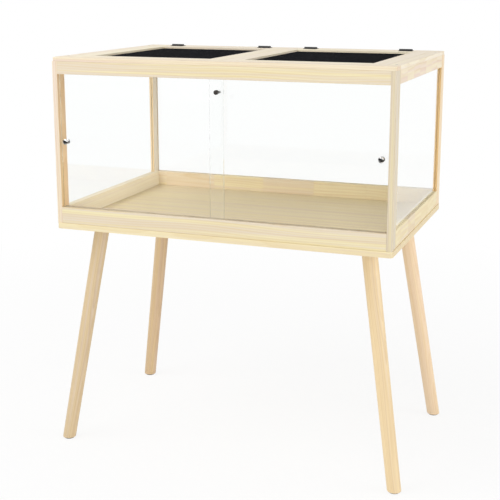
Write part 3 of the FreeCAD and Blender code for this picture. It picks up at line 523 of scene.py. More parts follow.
finishes = {}
for number, (node, (grain, heart, tone)) in enumerate(BOARDS.items()):
    low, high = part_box(node)
    cut = {
        "Shift": SHIFT_STEP * number,
        "Heart Distance": HEART_NEAREST + HEART_STEP * (number % HEART_KINDS),
        "Block Length": GLUED_BLOCKS.get(node, ONE_PIECE),
    }
    finishes[node] = timber_material(
        f"wood_{node}", (low + high) / 2, AXES[grain], AXES[heart], TONES[tone], cut,
        SHADED_FACE_SIDES.get(node),
    )
print(len(finishes), "boards, each with its own cut of the grain")

# %% [markdown]
# Clear glass is a Principled shader with full transmission. Seen through a pane it has no colour to
# speak of; at a cut edge the light has crossed far more glass and comes out a little green and
# dimmer, so a mask finds the edges from the pane's own direction. A lamp's rays would stop at the
# panes, because a path tracer finds a lamp through glass only by chance, so for shadow rays the
# pane turns transparent and the inside of the tank is lit as it is in a room.

# %% Glass
GLASS_TINT = (0.992, 0.998, 0.995, 1)
EDGE_TINT = (0.80, 0.86, 0.80, 1)
SHADOW_TINT = (0.98, 0.982, 0.978, 1)
GLASS_IOR = 1.34
SMEAR_SIZE = 9.0
SMEAR_RANGE = (0.45, 0.8)
MOST_HAZE = 0.02
EDGE_CLEARNESS = 0.55


def glass_material(name, through):
    """Pane glass; through is the direction in which one looks through the pane."""
    material, tree, principled = new_material(name, IOR=GLASS_IOR, Transmission_Weight=1.0)
    facing = math_node(tree, "ABSOLUTE", turned_to(tree, through))
    edge = math_node(tree, "LESS_THAN", facing, 0.5)
    tree.links.new(mix_colours(tree, edge, GLASS_TINT, EDGE_TINT), principled.inputs["Base Color"])
    smear = noise(tree, object_place(tree), SMEAR_SIZE, 4.0)
    haze = map_range(tree, smear, *SMEAR_RANGE, to_high=MOST_HAZE)
    tree.links.new(haze, principled.inputs["Roughness"])
    path = tree.nodes.new("ShaderNodeLightPath").outputs
    clear = add_node(tree, "ShaderNodeBsdfTransparent", {"Color": SHADOW_TINT})
    edge_clear = math_node(tree, "MULTIPLY", edge, EDGE_CLEARNESS)
    clear_share = math_node(tree, "MAXIMUM", path["Is Shadow Ray"], edge_clear)
    mix_surface(tree, clear_share, principled, clear)
    return material


glass_along_y = glass_material("glass_front_and_back", AXES["y"])
glass_along_x = glass_material("glass_sides", AXES["x"])
PANES = {
    "glass_left": glass_along_x, "glass_right": glass_along_x, "glass_back": glass_along_y,
    "door_left_glass": glass_along_y, "door_right_glass": glass_along_y,
}
finishes.update(PANES)
print("glass for", len(PANES), "panes")

# %% [markdown]
# Small parts share one worn-surface group: fine speckle for the colour and the roughness, and a
# height for the bump. Each plastic and metal places it with its own values.

# %% Surface speckle group
PATCH_SIZE = 22.0
SPECKLE_RANGE = (0.15, 0.4)

speckle, given, result = new_group(
    "surface_speckle",
    [
        ("Vector", VECTOR, None),
        ("Base", COLOUR, (0.5, 0.5, 0.5, 1)),
        ("Worn", COLOUR, (0.6, 0.6, 0.6, 1)),
        ("Size", FLOAT, 300.0),
        ("Amount", FLOAT, 0.3),
        ("Roughness", FLOAT, 0.4),
        ("Roughness Spread", FLOAT, 0.15),
    ],
    [("Color", COLOUR), ("Roughness", FLOAT), ("Height", FLOAT)],
)
grit = noise(speckle, given["Vector"], given["Size"], 5.0)
patch = noise(speckle, given["Vector"], PATCH_SIZE, 3.0)
mixed = math_node(speckle, "MULTIPLY", grit, patch)
worn_share = map_range(speckle, mixed, *SPECKLE_RANGE, to_high=given["Amount"])
spread = math_node(speckle, "SUBTRACT", grit, 0.5)
rough = math_node(speckle, "MULTIPLY_ADD", spread, given["Roughness Spread"], given["Roughness"])
fill(speckle, result["Color"], mix_colours(speckle, worn_share, given["Base"], given["Worn"]))
fill(speckle, result["Roughness"], rough)
fill(speckle, result["Height"], grit)
print("speckle group with", len(speckle.nodes), "nodes")

# %% [markdown]
# The hinges are lacquered black, the screens are coated wire, the screws and plates are zinc
# plated, the lock pin is dark metal, and the rest is plastic or rubber. Each has two tones, the
# size and the amount of its speckle, its roughness with a spread, and the height of its texture.

# %% Plastics and metals
SMALL_PARTS = {
    # finish: base, worn, size, amount, roughness, spread, relief in mm, shader settings
    "black_satin": ((0.012, 0.012, 0.013), (0.05, 0.05, 0.05), 900.0, 0.5, 0.38, 0.2, 0.02, {}),
    "mesh_black": (
        (0.003, 0.0035, 0.005), (0.008, 0.009, 0.012), 1200.0, 0.5, 0.6, 0.2, 0.01,
        {"Specular_IOR_Level": 0.05},
    ),
    "zinc": ((0.60, 0.58, 0.53), (0.42, 0.38, 0.32), 700.0, 0.6, 0.32, 0.25, 0.01, {"Metallic": 1.0}),
    "dull_zinc": (
        (0.22, 0.21, 0.20), (0.14, 0.13, 0.11), 700.0, 0.6, 0.4, 0.25, 0.01, {"Metallic": 0.9},
    ),
    "dark_metal": (
        (0.045, 0.04, 0.035), (0.13, 0.11, 0.10), 800.0, 0.5, 0.3, 0.2, 0.01, {"Metallic": 0.8},
    ),
    "black_plastic": ((0.02, 0.02, 0.02), (0.07, 0.07, 0.07), 600.0, 0.5, 0.5, 0.2, 0.03, {}),
    "track_plastic": ((0.60, 0.48, 0.32), (0.46, 0.35, 0.22), 260.0, 0.5, 0.42, 0.15, 0.02, {}),
    "grey_rubber": ((0.33, 0.33, 0.32), (0.24, 0.24, 0.23), 700.0, 0.5, 0.6, 0.2, 0.02, {}),
}
HINGE_PARTS = ("hinge_cap", "lid_left_hinge", "lid_right_hinge")
PIECES_IN = {
    # finish: the pieces that have it
    "black_satin": [f"{part}_{kind}" for kind in ("leaves", "screws") for part in HINGE_PARTS],
    "mesh_black": ["lid_left_mesh", "lid_right_mesh"],
    "dull_zinc": ["frame_screws"],
    "zinc": ["leg_bolts", "leg_plates", "door_left_knob_screw", "door_right_knob_screw"],
    "dark_metal": ["lock_pin"],
    "black_plastic": ["lock_grommet", "leg_glides"],
    "grey_rubber": ["door_bumper"],
    "track_plastic": ["door_track_lower", "door_track_upper"],
}


def small_part_material(name, base, worn, size, amount, rough, spread, relief, shader):
    """A plastic or a metal with a fine uneven surface."""
    material, tree, principled = new_material(name, **shader)
    pattern = add_node(tree, "ShaderNodeGroup", {
        "Vector": object_place(tree), "Base": (*base, 1), "Worn": (*worn, 1), "Size": size,
        "Amount": amount, "Roughness": rough, "Roughness Spread": spread,
    }, node_tree=speckle).outputs
    tree.links.new(pattern["Color"], principled.inputs["Base Color"])
    tree.links.new(pattern["Roughness"], principled.inputs["Roughness"])
    raise_surface(tree, principled, pattern["Height"], relief * MM)
    return material


small = {name: small_part_material(name, *values) for name, values in SMALL_PARTS.items()}
for name, pieces in PIECES_IN.items():
    finishes.update({node: small[name] for node in pieces})
print(len(small), "finishes for", sum(map(len, PIECES_IN.values())), "small pieces")

# %% [markdown]
# The floor of the tank is covered by a thin clear sheet, so that spilled water can't reach the
# wood. It lies flat: one looks straight through most of it, and a soft unevenness breaks up what
# it reflects.

# %% Clear floor liner
FILM_COLOUR = (0.97, 0.98, 0.98, 1)
FILM_TINT = (0.985, 0.98, 0.97, 1)
FILM_IOR = 1.4
FILM_SHINE = 0.2
FILM_ROUGHNESS = (0.1, 0.3)
RIPPLE_SIZE = 14.0
RIPPLE_DEPTH = 0.25 * MM

liner_film, tree, principled = new_material(
    "liner_film", Base_Color=FILM_COLOUR, IOR=FILM_IOR, Transmission_Weight=1.0,
)
ripple = noise(tree, object_place(tree), RIPPLE_SIZE, 3.0)
film_rough = map_range(tree, ripple, 0.0, 1.0, *FILM_ROUGHNESS)
tree.links.new(film_rough, principled.inputs["Roughness"])
raise_surface(tree, principled, ripple, RIPPLE_DEPTH)
path = tree.nodes.new("ShaderNodeLightPath").outputs
shine = map_range(tree, path["Is Camera Ray"], to_high=FILM_SHINE)
clear = add_node(tree, "ShaderNodeBsdfTransparent", {"Color": FILM_TINT})
mix_surface(tree, shine, clear, principled)
finishes["floor_liner"] = liner_film
print("clear liner")

# %% [markdown]
# Every new piece is a mesh with its place in its vertices. These helpers turn a bmesh into an
# object with its finish, put it on the body that it moves with, and hide the measured pieces whose
# place it takes.

# %% Finishing a piece
MERGE_DISTANCE = 0.001 * MM
SMOOTH_ANGLE = math.radians(35)


def mesh_from(shape):
    """A mesh from a bmesh, with its doubles merged and its normals outward."""
    bmesh.ops.remove_doubles(shape, verts=shape.verts, dist=MERGE_DISTANCE)
    bmesh.ops.recalc_face_normals(shape, faces=shape.faces)
    mesh = bpy.data.meshes.new("piece")
    shape.to_mesh(mesh)
    shape.free()
    return mesh


def finish_piece(name, mesh, material, body, replaced=(), smooth_angle=SMOOTH_ANGLE):
    """An object from a mesh, with its finish, its body and the measured pieces that it replaces."""
    mesh.name = name
    mesh.materials.clear()
    mesh.materials.append(material)
    if smooth_angle:
        mesh.shade_smooth()
        mesh.set_sharp_from_angle(angle=smooth_angle)
    piece = bpy.data.objects.new(name, mesh)
    bpy.context.scene.collection.objects.link(piece)
    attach(piece, body)
    if replaced:
        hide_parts(*replaced)
    return piece


BODY_OF = {
    node: body
    for body, holder in frame["bodies"].items()
    for node in nodes
    if nodes[node].parent == holder
}
print("piece helpers ready,", len(BODY_OF), "pieces on bodies")

# %% [markdown]
# Some pieces start as a copy of the measured one. It is loose triangles, so the copy is merged
# before it is worked on. Modifiers are used for rounding and for what repeats, and their result is
# turned into a plain mesh before the piece is finished.

# %% Copies and modifiers
FLAT_ANGLE = math.radians(1)


def merged_copy(node, whole_faces=True):
    """A bmesh of a measured piece, with its triangles merged into whole flat faces if asked."""
    shape = bmesh.new()
    shape.from_mesh(nodes[node].data)
    shape.transform(nodes[node].matrix_world)
    bmesh.ops.remove_doubles(shape, verts=shape.verts, dist=MERGE_DISTANCE)
    if whole_faces:
        bmesh.ops.dissolve_limit(shape, angle_limit=FLAT_ANGLE, verts=shape.verts, edges=shape.edges)
    return shape


def convert(name, mesh, *modifiers):
    """The plain mesh that a chain of modifiers makes; each is a kind, and its settings."""
    carrier = bpy.data.objects.new(name, mesh)
    bpy.context.scene.collection.objects.link(carrier)
    for kind, settings in modifiers:
        modifier = carrier.modifiers.new(kind.lower(), kind)
        for label, value in settings.items():
            if label.startswith("Socket_"):
                modifier[label] = value
            else:
                setattr(modifier, label, value)
    seen_by = bpy.context.evaluated_depsgraph_get()
    plain = bpy.data.meshes.new_from_object(carrier.evaluated_get(seen_by))
    carrier.modifiers.clear()
    bpy.data.objects.remove(carrier)
    return plain


print("copies and modifiers ready")

# %% [markdown]
# A planed board has its long edges eased with sandpaper, and they catch the light as thin bright
# lines. Each board is a merged copy of its measured piece. Only the edges of its outer box are
# rounded, found by asking which two sides of the box both ends of an edge lie on, so grooves and
# screw holes keep their true shape.

# %% Boards with eased edges
EDGE_EASE = 0.7 * MM
EASE_STEPS = 2
ON_SIDE = 0.02 * MM
SHARP = math.radians(30)
WEIGH_BY_FACE = {"keep_sharp": True, "mode": "FACE_AREA", "weight": 100}


def sides_of_box(edge, low, high):
    """On how many sides of a box both ends of an edge lie."""
    sides = 0
    for axis in range(3):
        ends = [vertex.co[axis] for vertex in edge.verts]
        for side in (low[axis], high[axis]):
            sides += all(abs(end - side) < ON_SIDE for end in ends)
    return sides


def eased_copy(node, width, smooth=True):
    """A merged copy of a measured piece, with the edges of its box rounded."""
    low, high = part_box(node)
    shape = merged_copy(node)
    weight = shape.edges.layers.float.new("bevel_weight_edge")
    for edge in shape.edges:
        if sides_of_box(edge, low, high) == 2:
            edge[weight] = 1.0
        elif edge.calc_face_angle(0) > SHARP:
            edge.smooth = False
    for face in shape.faces:
        face.smooth = smooth
    steps = [("BEVEL", {"width": width, "segments": EASE_STEPS, "limit_method": "WEIGHT"})]
    if smooth:
        steps.append(("WEIGHTED_NORMAL", WEIGH_BY_FACE))
    return convert(node, mesh_from(shape), *steps)


for node in BOARDS:
    board = eased_copy(node, EDGE_EASE)
    finish_piece(f"board_{node}", board, finishes[node], BODY_OF[node], [node], smooth_angle=None)
print(len(BOARDS), "boards with edges eased by", EDGE_EASE / MM, "mm")

# %% [markdown]
# The panes have ground edges and the tracks, plates and liner have soft ones, so they are made in
# the same way with a smaller rounding. The pieces that are left keep their measured form and only
# get their finish.

# %% Panes, tracks and plates
SMALL_EASE = {
    # piece: width of the rounding
    "glass_left": 0.4 * MM, "glass_right": 0.4 * MM, "glass_back": 0.4 * MM,
    "door_left_glass": 0.5 * MM, "door_right_glass": 0.5 * MM,
    "door_track_lower": 0.3 * MM, "door_track_upper": 0.3 * MM,
    "leg_plates": 0.5 * MM, "floor_liner": 0.3 * MM,
}
for node, width in SMALL_EASE.items():
    eased = eased_copy(node, width, smooth=node not in PANES)
    finish_piece(f"eased_{node}", eased, finishes[node], BODY_OF[node], [node], smooth_angle=None)
for node in set(finishes) - set(BOARDS) - set(SMALL_EASE):
    nodes[node].data.materials.clear()
    nodes[node].data.materials.append(finishes[node])
print(len(SMALL_EASE), "more eased pieces")

# %% [markdown]
# A round part is a stack of rings with faces between them and a cap on both ends. The legs, the
# knobs and the screws are all made so.

# %% Rings and skins
def circle_points(radius, count, first=0):
    """Points on a circle, of which the first may stand a few steps further on or back."""
    step = 2 * math.pi / count
    angles = [step * (k + first) for k in range(count)]
    return [(radius * math.cos(angle), radius * math.sin(angle)) for angle in angles]


def skin(shape, rings):
    """Faces between neighbouring rings, and a cap on both ends."""
    for lower, upper in zip(rings, rings[1:]):
        for k, corner in enumerate(lower):
            after = (k + 1) % len(lower)
            shape.faces.new((corner, lower[after], upper[after], upper[k]))
    shape.faces.new(rings[0][::-1])
    shape.faces.new(rings[-1])


print("ring helpers ready")

# %% [markdown]
# The legs are turned from round stock and lean outwards in both directions. Each is a stack of
# level rings between the foot and the top: the rings shrink in a small curve at the foot, where
# the sharp edge is sanded round.

# %% Shape of a leg
LEG_TOP_RADIUS = 20.1 * MM
LEG_FOOT_RADIUS = 18 * MM
FOOT_ROUND = 2 * MM
RING_POINTS = 64
ROUND_STEPS = 5
LEG_STEPS = 12


def turned_leg(foot, top):
    """A leaning round leg with a rounded foot."""
    rise = top.z - foot.z
    levels = []
    for step in range(ROUND_STEPS + 1):
        angle = math.pi / 2 * step / ROUND_STEPS
        radius = LEG_FOOT_RADIUS - FOOT_ROUND * (1 - math.sin(angle))
        levels.append((FOOT_ROUND * (1 - math.cos(angle)), radius))
    for step in range(1, LEG_STEPS + 1):
        share = step / LEG_STEPS
        radius = LEG_FOOT_RADIUS + share * (LEG_TOP_RADIUS - LEG_FOOT_RADIUS)
        levels.append((FOOT_ROUND + share * (rise - FOOT_ROUND), radius))
    shape = bmesh.new()
    rings = []
    for height, radius in levels:
        centre = foot.lerp(top, height / rise)
        spots = circle_points(radius, RING_POINTS)
        rings.append([shape.verts.new(centre + Vector((x, y, 0))) for x, y in spots])
    skin(shape, rings)
    return mesh_from(shape)


print("a leg has", ROUND_STEPS + 1 + LEG_STEPS, "rings")

# %% [markdown]
# A leg reaches from its glide to its plate. Both lie at the corners of their measured pieces, and
# all four corners are alike. The grain runs along the leg, so the finish is turned with it. Each leg
# has a tone of its own, with painted shade and light in it: the left legs are darker and the right
# legs lighter.

# %% Four legs
GLIDE_RADIUS = 14 * MM
PLATE_HALF = 31 * MM
# tones of the legs, with painted shade on the left legs and painted light on the right legs
LEG_TONES_AND_SHADE = {
    # leg: early wood, late wood, grey wood
    "front_left": ((0.76, 0.60, 0.37), (0.58, 0.41, 0.23), (0.76, 0.62, 0.47)),
    "front_right": ((0.91, 0.72, 0.44), (0.70, 0.50, 0.27), (0.86, 0.70, 0.52)),
    "rear_left": ((0.75, 0.56, 0.32), (0.58, 0.40, 0.21), (0.70, 0.52, 0.36)),
    "rear_right": ((0.97, 0.77, 0.48), (0.80, 0.57, 0.32), (0.94, 0.74, 0.53)),
}
LEG_SHIFT = 5.3
LEG_GRAIN = {"Heart Distance": 0.035, "Ring Width": 0.004, "Roughness": 0.42}

glide_low, glide_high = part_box("leg_glides")
plate_low, plate_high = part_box("leg_plates")


def at_corner(corner, outermost, inset, height):
    """The place at a corner of the tank, an inset away from the outermost point of its fittings."""
    side_x = -1 if corner.endswith("left") else 1
    side_y = -1 if corner.startswith("front") else 1
    return Vector((side_x * (outermost.x - inset), side_y * (outermost.y - inset), height))


for number, (corner, tones) in enumerate(LEG_TONES_AND_SHADE.items(), 1):
    foot = at_corner(corner, glide_high, GLIDE_RADIUS, glide_high.z)
    top = at_corner(corner, plate_high, PLATE_HALF, plate_low.z)
    along = (top - foot).normalized()
    across = along.cross(AXES["y"]).normalized()
    cut = {"Shift": LEG_SHIFT * number, **LEG_GRAIN}
    wood = timber_material(f"wood_leg_{corner}", foot, along, across, tones, cut)
    finish_piece(f"turned_leg_{corner}", turned_leg(foot, top), wood, "tank", [f"leg_{corner}"])
print(len(LEG_TONES_AND_SHADE), "legs")

# %% [markdown]
# What repeats is made by Geometry Nodes. A tree has named inputs, which are set before it is used,
# and it ends in real geometry with its finish. Both trees of this tank share these two helpers.

# %% Geometry tree helpers
def add_input(tree, label, kind, value=None):
    """A named input of a geometry tree; it gives back the identifier by which it is set."""
    socket = tree.interface.new_socket(label, in_out="INPUT", socket_type=kind)
    if value is not None:
        socket.default_value = value
    return socket.identifier


def finish_tree(tree, geometry, finish, **move):
    """Ends a geometry tree: its instances made real, moved if asked, and given their finish."""
    end = add_node(tree, "GeometryNodeRealizeInstances", {"Geometry": geometry}).outputs[0]
    if move:
        end = add_node(tree, "GeometryNodeTransform", {"Geometry": end, **move}).outputs[0]
    finished = add_node(tree, "GeometryNodeSetMaterial", {"Geometry": end, "Material": finish})
    tree.links.new(finished.outputs[0], tree.nodes.new("NodeGroupOutput").inputs[0])


print("geometry tree helpers ready")

# %% [markdown]
# A woven screen is two layers of wires that pass over and under each other. The tree makes one
# small tile of the weave: a wire with one bend is copied four times, twice along each direction,
# and a half turn makes the wires that pass under.

# %% Tile of the woven screen
WEAVE_DEPTH = 0.5

screen = bpy.data.node_groups.new("woven_screen", "GeometryNodeTree")
screen.interface.new_socket("Geometry", in_out="OUTPUT", socket_type="NodeSocketGeometry")
SCREEN_INPUTS = {
    "columns": add_input(screen, "Columns", "NodeSocketInt", 10),
    "rows": add_input(screen, "Rows", "NodeSocketInt", 10),
    "pitch": add_input(screen, "Pitch", FLOAT, 2.8 * MM),
    "wire": add_input(screen, "Wire Radius", FLOAT, 0.3 * MM),
    "middle": add_input(screen, "Middle", VECTOR),
    "finish": add_input(screen, "Finish", "NodeSocketMaterial"),
}
given = screen.nodes.new("NodeGroupInput").outputs
pitch = given["Pitch"]
tile_size = math_node(screen, "MULTIPLY", pitch, 2.0)
wire_end = vector_of(screen, X=tile_size)
straight = add_node(screen, "GeometryNodeCurvePrimitiveLine", {"End": wire_end})
three_points = add_node(screen, "GeometryNodeResampleCurve", {"Curve": straight.outputs[0], "Count": 3})
parity = math_node(screen, "MODULO", screen.nodes.new("GeometryNodeInputIndex").outputs[0], 2.0)
up_down = math_node(screen, "MULTIPLY_ADD", parity, -2.0, 1.0)
depth = math_node(screen, "MULTIPLY", given["Wire Radius"], WEAVE_DEPTH)
lift = vector_of(screen, Z=math_node(screen, "MULTIPLY", up_down, depth))
bent_line = add_node(screen, "GeometryNodeSetPosition", {
    "Geometry": three_points.outputs[0], "Offset": lift,
})
section = add_node(screen, "GeometryNodeCurvePrimitiveCircle", {
    "Resolution": 3, "Radius": given["Wire Radius"],
})
wire = add_node(screen, "GeometryNodeCurveToMesh", {
    "Curve": bent_line.outputs[0], "Profile Curve": section.outputs[0],
})
tile = screen.nodes.new("GeometryNodeJoinGeometry")
for offset, turn in (
    (None, (0, 0, 0)),
    (vector_of(screen, Y=pitch), (math.pi, 0, 0)),
    (vector_of(screen, X=pitch), (0, 0, math.pi / 2)),
    (None, (math.pi, 0, math.pi / 2)),
):
    placed = add_node(screen, "GeometryNodeTransform", {"Geometry": wire.outputs[0], "Rotation": turn})
    if offset is not None:
        screen.links.new(offset, placed.inputs["Translation"])
    screen.links.new(placed.outputs[0], tile.inputs[0])
print("tile of the weave with", len(screen.nodes), "nodes")

# %% [markdown]
# The tile is laid out on a grid of points, two wires apart, so that the wires of neighbouring
# tiles meet end to end. The whole is moved to the middle of its lid.

# %% Woven screen tree
gaps_x = math_node(screen, "SUBTRACT", given["Columns"], 1.0)
gaps_y = math_node(screen, "SUBTRACT", given["Rows"], 1.0)
grid = add_node(screen, "GeometryNodeMeshGrid", {
    "Size X": math_node(screen, "MULTIPLY", gaps_x, tile_size),
    "Size Y": math_node(screen, "MULTIPLY", gaps_y, tile_size),
    "Vertices X": given["Columns"], "Vertices Y": given["Rows"],
})
laid = add_node(screen, "GeometryNodeInstanceOnPoints", {
    "Points": grid.outputs["Mesh"], "Instance": tile.outputs[0],
})
half_tile = vector_of(screen, X=pitch, Y=pitch)
tile_start = vector_node(screen, "SUBTRACT", given["Middle"], half_tile)
finish_tree(screen, laid.outputs[0], given["Finish"], Translation=tile_start)
print("screen tree with", len(screen.nodes), "nodes")

# %% [markdown]
# The wire is thin and its weave close, so the lids look almost black from a low angle but let
# light and air through. Each screen is a little smaller than the measured sheet, whose edges are
# hidden between the lid and its beads.

# %% Screens of the lids
SCREEN_PITCH = 2.8 * MM
SCREEN_WIRE = 0.5 * MM

for lid in ("lid_left", "lid_right"):
    low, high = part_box(f"{lid}_mesh")
    size = high - low
    settings = {
        SCREEN_INPUTS["columns"]: int(size.x / (2 * SCREEN_PITCH)),
        SCREEN_INPUTS["rows"]: int(size.y / (2 * SCREEN_PITCH)),
        SCREEN_INPUTS["pitch"]: SCREEN_PITCH,
        SCREEN_INPUTS["wire"]: SCREEN_WIRE,
        SCREEN_INPUTS["middle"]: tuple((low + high) / 2),
        SCREEN_INPUTS["finish"]: small["mesh_black"],
    }
    carrier = bpy.data.meshes.new("carrier")
    woven = convert(lid, carrier, ("NODES", {"node_group": screen, **settings}))
    finish_piece(f"{lid}_screen", woven, small["mesh_black"], lid, [f"{lid}_mesh"], smooth_angle=None)
    print(lid, "screen with", len(woven.polygons), "faces")

# %% [markdown]
# The knobs, the glides under the legs, the bumper and the lock pin are round parts made on a lathe
# or in a round mould. Each is a list of steps, a distance along the axis and a radius, swept around
# the axis. The direction is where the part points away from its base.

# %% Turned parts
LATHE_POINTS = 40
FLUTE_DEPTH = 0.35


def lathe(base, direction, profile, fluted=()):
    """A solid of revolution from steps of (distance, radius) in mm; some steps may be fluted."""
    shape = bmesh.new()
    turn = direction.to_track_quat("Z", "Y").to_matrix()
    rings = []
    for step, (distance, radius) in enumerate(profile):
        outer = circle_points(radius, LATHE_POINTS)
        inner = circle_points(radius - FLUTE_DEPTH, LATHE_POINTS) if step in fluted else outer
        spots = [(inner if k % 2 else outer)[k] for k in range(LATHE_POINTS)]
        rings.append([shape.verts.new(base + turn @ (Vector((x, y, distance)) * MM)) for x, y in spots])
    skin(shape, rings)
    return mesh_from(shape)


def joined(meshes):
    """One mesh from several."""
    shape = bmesh.new()
    for mesh in meshes:
        shape.from_mesh(mesh)
        bpy.data.meshes.remove(mesh)
    mesh = bpy.data.meshes.new("joined")
    shape.to_mesh(mesh)
    shape.free()
    return mesh


def back_middle(node):
    """The middle of a piece's rear face, where a round part that points to the front begins."""
    low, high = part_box(node)
    return Vector(((low.x + high.x) / 2, high.y, (low.z + high.z) / 2))


print("lathe ready")

# %% [markdown]
# Each door has a small chromed pull knob. It stands on a thin dark washer, has a narrow neck to
# grip behind, and a head with a rounded rim and a shallow dish in its face. Polished chrome is a
# mirror, so a white room would leave it white: its colour has painted reflections, dark bands for
# the room's darker parts and bright bands for its lamps, laid out by the direction that the surface
# faces.

# %% Chrome with painted reflections
PAINTED_REFLECTION_STOPS = (
    # place along the sweep of directions, tone of the painted reflection
    (0.0, (0.02, 0.02, 0.02)), (0.30, (0.04, 0.04, 0.04)), (0.36, (0.90, 0.90, 0.91)),
    (0.46, (0.95, 0.95, 0.96)), (0.50, (0.05, 0.05, 0.05)), (0.66, (0.02, 0.02, 0.02)),
    (0.74, (0.10, 0.10, 0.10)), (0.80, (0.95, 0.95, 0.96)), (1.0, (1.0, 1.0, 1.0)),
)
PAINTED_REFLECTION_DIRECTION = (0.35, -0.20, 0.80)
PAINTED_REFLECTION_SPREAD = 0.5
PAINTED_REFLECTION_START = 0.38
SWIRL_SIZE = 160.0
SWIRL_SHARE = 0.25
POLISH = (0.06, 0.16)

banded_chrome, tree, principled = new_material("banded_chrome", Metallic=1.0)
# painted reflection: dark and bright bands in the chrome's colour, set by the direction that the
# surface faces
sweep = math_node(tree, "MULTIPLY_ADD", turned_to(tree, PAINTED_REFLECTION_DIRECTION), PAINTED_REFLECTION_SPREAD, PAINTED_REFLECTION_START)
swirl = noise(tree, object_place(tree), SWIRL_SIZE, 1.0)
swirled = math_node(tree, "MULTIPLY_ADD", swirl, SWIRL_SHARE, sweep)
tree.links.new(ramp_node(tree, swirled, PAINTED_REFLECTION_STOPS), principled.inputs["Base Color"])
tree.links.new(map_range(tree, swirl, 0.0, 1.0, *POLISH), principled.inputs["Roughness"])
print("banded chrome")

# %% [markdown]
# The knob stands where the measured one does. The steps of its profile give the common shape of
# such a knob, in millimetres from the pane.

# %% Knobs
WASHER = ((0.0, 3.2), (0.0, 6.3), (0.15, 6.6), (0.6, 6.6), (0.75, 6.3), (0.75, 3.2))
KNOB = (
    (0.8, 2.6), (0.8, 5.7), (1.1, 6.0), (1.8, 6.0), (2.2, 5.6), (3.2, 4.2), (4.6, 3.6), (6.2, 3.6),
    (7.8, 4.2), (9.0, 5.5), (9.7, 6.6), (10.5, 7.1), (11.6, 7.25), (12.8, 7.1), (13.8, 6.6),
    (14.6, 5.8), (15.0, 5.0), (14.9, 4.4), (14.4, 3.4), (14.1, 2.0), (14.0, 0.9),
)

for side in ("left", "right"):
    door = f"door_{side}"
    base = back_middle(f"{door}_knob")
    finish_piece(f"knob_{side}", lathe(base, TO_FRONT, KNOB), banded_chrome, door, [f"{door}_knob"])
    washer = lathe(base, TO_FRONT, WASHER)
    finish_piece(f"knob_washer_{side}", washer, small["black_plastic"], door)
print("two knobs with washers")

# %% [markdown]
# The lock pin has a fluted head to pull by and a shorter shank in a black grommet. The bumper is a
# soft domed disc, and the glides are round plastic discs with a rounded rim.

# %% Lock pin, bumper and glides
PIN_HEAD = (
    (0.0, 2.0), (0.0, 3.8), (0.5, 4.4), (1.6, 4.6), (2.2, 5.4), (2.7, 5.9), (5.6, 5.9), (6.2, 5.5),
    (6.7, 4.8), (7.0, 3.8), (6.8, 2.8), (6.6, 1.0),
)
PIN_HEAD_LENGTH = max(distance for distance, radius in PIN_HEAD)
PIN_FLUTED = (5, 6)
SHANK_RADIUS = 3.6
# steps of the shank's rounded end: distance back from the end, radius
SHANK_END = ((0.8, 3.6), (0.2, 3.2), (0.0, 2.6), (0.0, 0.8))
BUMPER = ((0.0, 0.9), (0.0, 2.8), (0.25, 3.0), (0.6, 2.95), (0.9, 2.6), (1.1, 1.9), (1.2, 0.8))
GLIDE = ((0.0, 4.0), (0.0, 12.6), (0.35, 13.6), (1.0, 14.0), (2.4, 14.0), (3.0, 13.7), (3.0, 4.0))

head_back = back_middle("lock_pin")
pin_end = head_back.y
head_back.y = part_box("lock_pin")[0].y + PIN_HEAD_LENGTH * MM
pin_head = lathe(head_back, TO_FRONT, PIN_HEAD, PIN_FLUTED)
shank_length = (pin_end - head_back.y) / MM
SHANK = [(0.0, SHANK_RADIUS)] + [(shank_length - back, radius) for back, radius in SHANK_END]
pin = joined([pin_head, lathe(head_back, AXES["y"], SHANK)])
finish_piece("lock_pin_turned", pin, finishes["lock_pin"], "lock_pin", ["lock_pin"])

bumper = lathe(back_middle("door_bumper"), TO_FRONT, BUMPER)
finish_piece("door_bumper_dome", bumper, finishes["door_bumper"], "door_right", ["door_bumper"])

spots = [at_corner(corner, glide_high, GLIDE_RADIUS, glide_low.z) for corner in LEG_TONES_AND_SHADE]
glides = joined([lathe(spot, AXES["z"], GLIDE) for spot in spots])
finish_piece("glides", glides, finishes["leg_glides"], "tank", ["leg_glides"])
print("pin, bumper and", len(spots), "glides")

# %% [markdown]
# All wood screws are countersunk with a cross recess. The places, sizes and directions come from
# the measured screws: each loose island of the mesh is one upright screw, and its wider end is the
# head. A small tree sets one pattern screw on each place, turned by a random angle as screws end up
# in wood, and flips those that are driven upwards.

# %% Screw tree
screw_tree = bpy.data.node_groups.new("driven_screws", "GeometryNodeTree")
screw_tree.interface.new_socket("Geometry", in_out="INPUT", socket_type="NodeSocketGeometry")
screw_tree.interface.new_socket("Geometry", in_out="OUTPUT", socket_type="NodeSocketGeometry")
SCREW_INPUTS = {
    "pattern": add_input(screw_tree, "Pattern", "NodeSocketObject"),
    "tilt": add_input(screw_tree, "Tilt", FLOAT, 0.0),
    "seed": add_input(screw_tree, "Seed", "NodeSocketInt", 3),
    "finish": add_input(screw_tree, "Finish", "NodeSocketMaterial"),
}
given = screw_tree.nodes.new("NodeGroupInput").outputs
pattern_screw = add_node(screw_tree, "GeometryNodeObjectInfo", {"Object": given["Pattern"]})
driven = add_node(screw_tree, "FunctionNodeRandomValue", {"Seed": given["Seed"]}, data_type="FLOAT")
for label, value in (("Min", 0.0), ("Max", 2 * math.pi)):
    next(s for s in driven.inputs if s.name == label and s.type == "VALUE").default_value = value
driven_angle = next(s for s in driven.outputs if s.type == "VALUE" and s.enabled)
turned = vector_of(screw_tree, X=given["Tilt"], Z=driven_angle)
set_in = add_node(screw_tree, "GeometryNodeInstanceOnPoints", {
    "Points": given["Geometry"], "Instance": pattern_screw.outputs["Geometry"], "Rotation": turned,
})
finish_tree(screw_tree, set_in.outputs[0], given["Finish"])
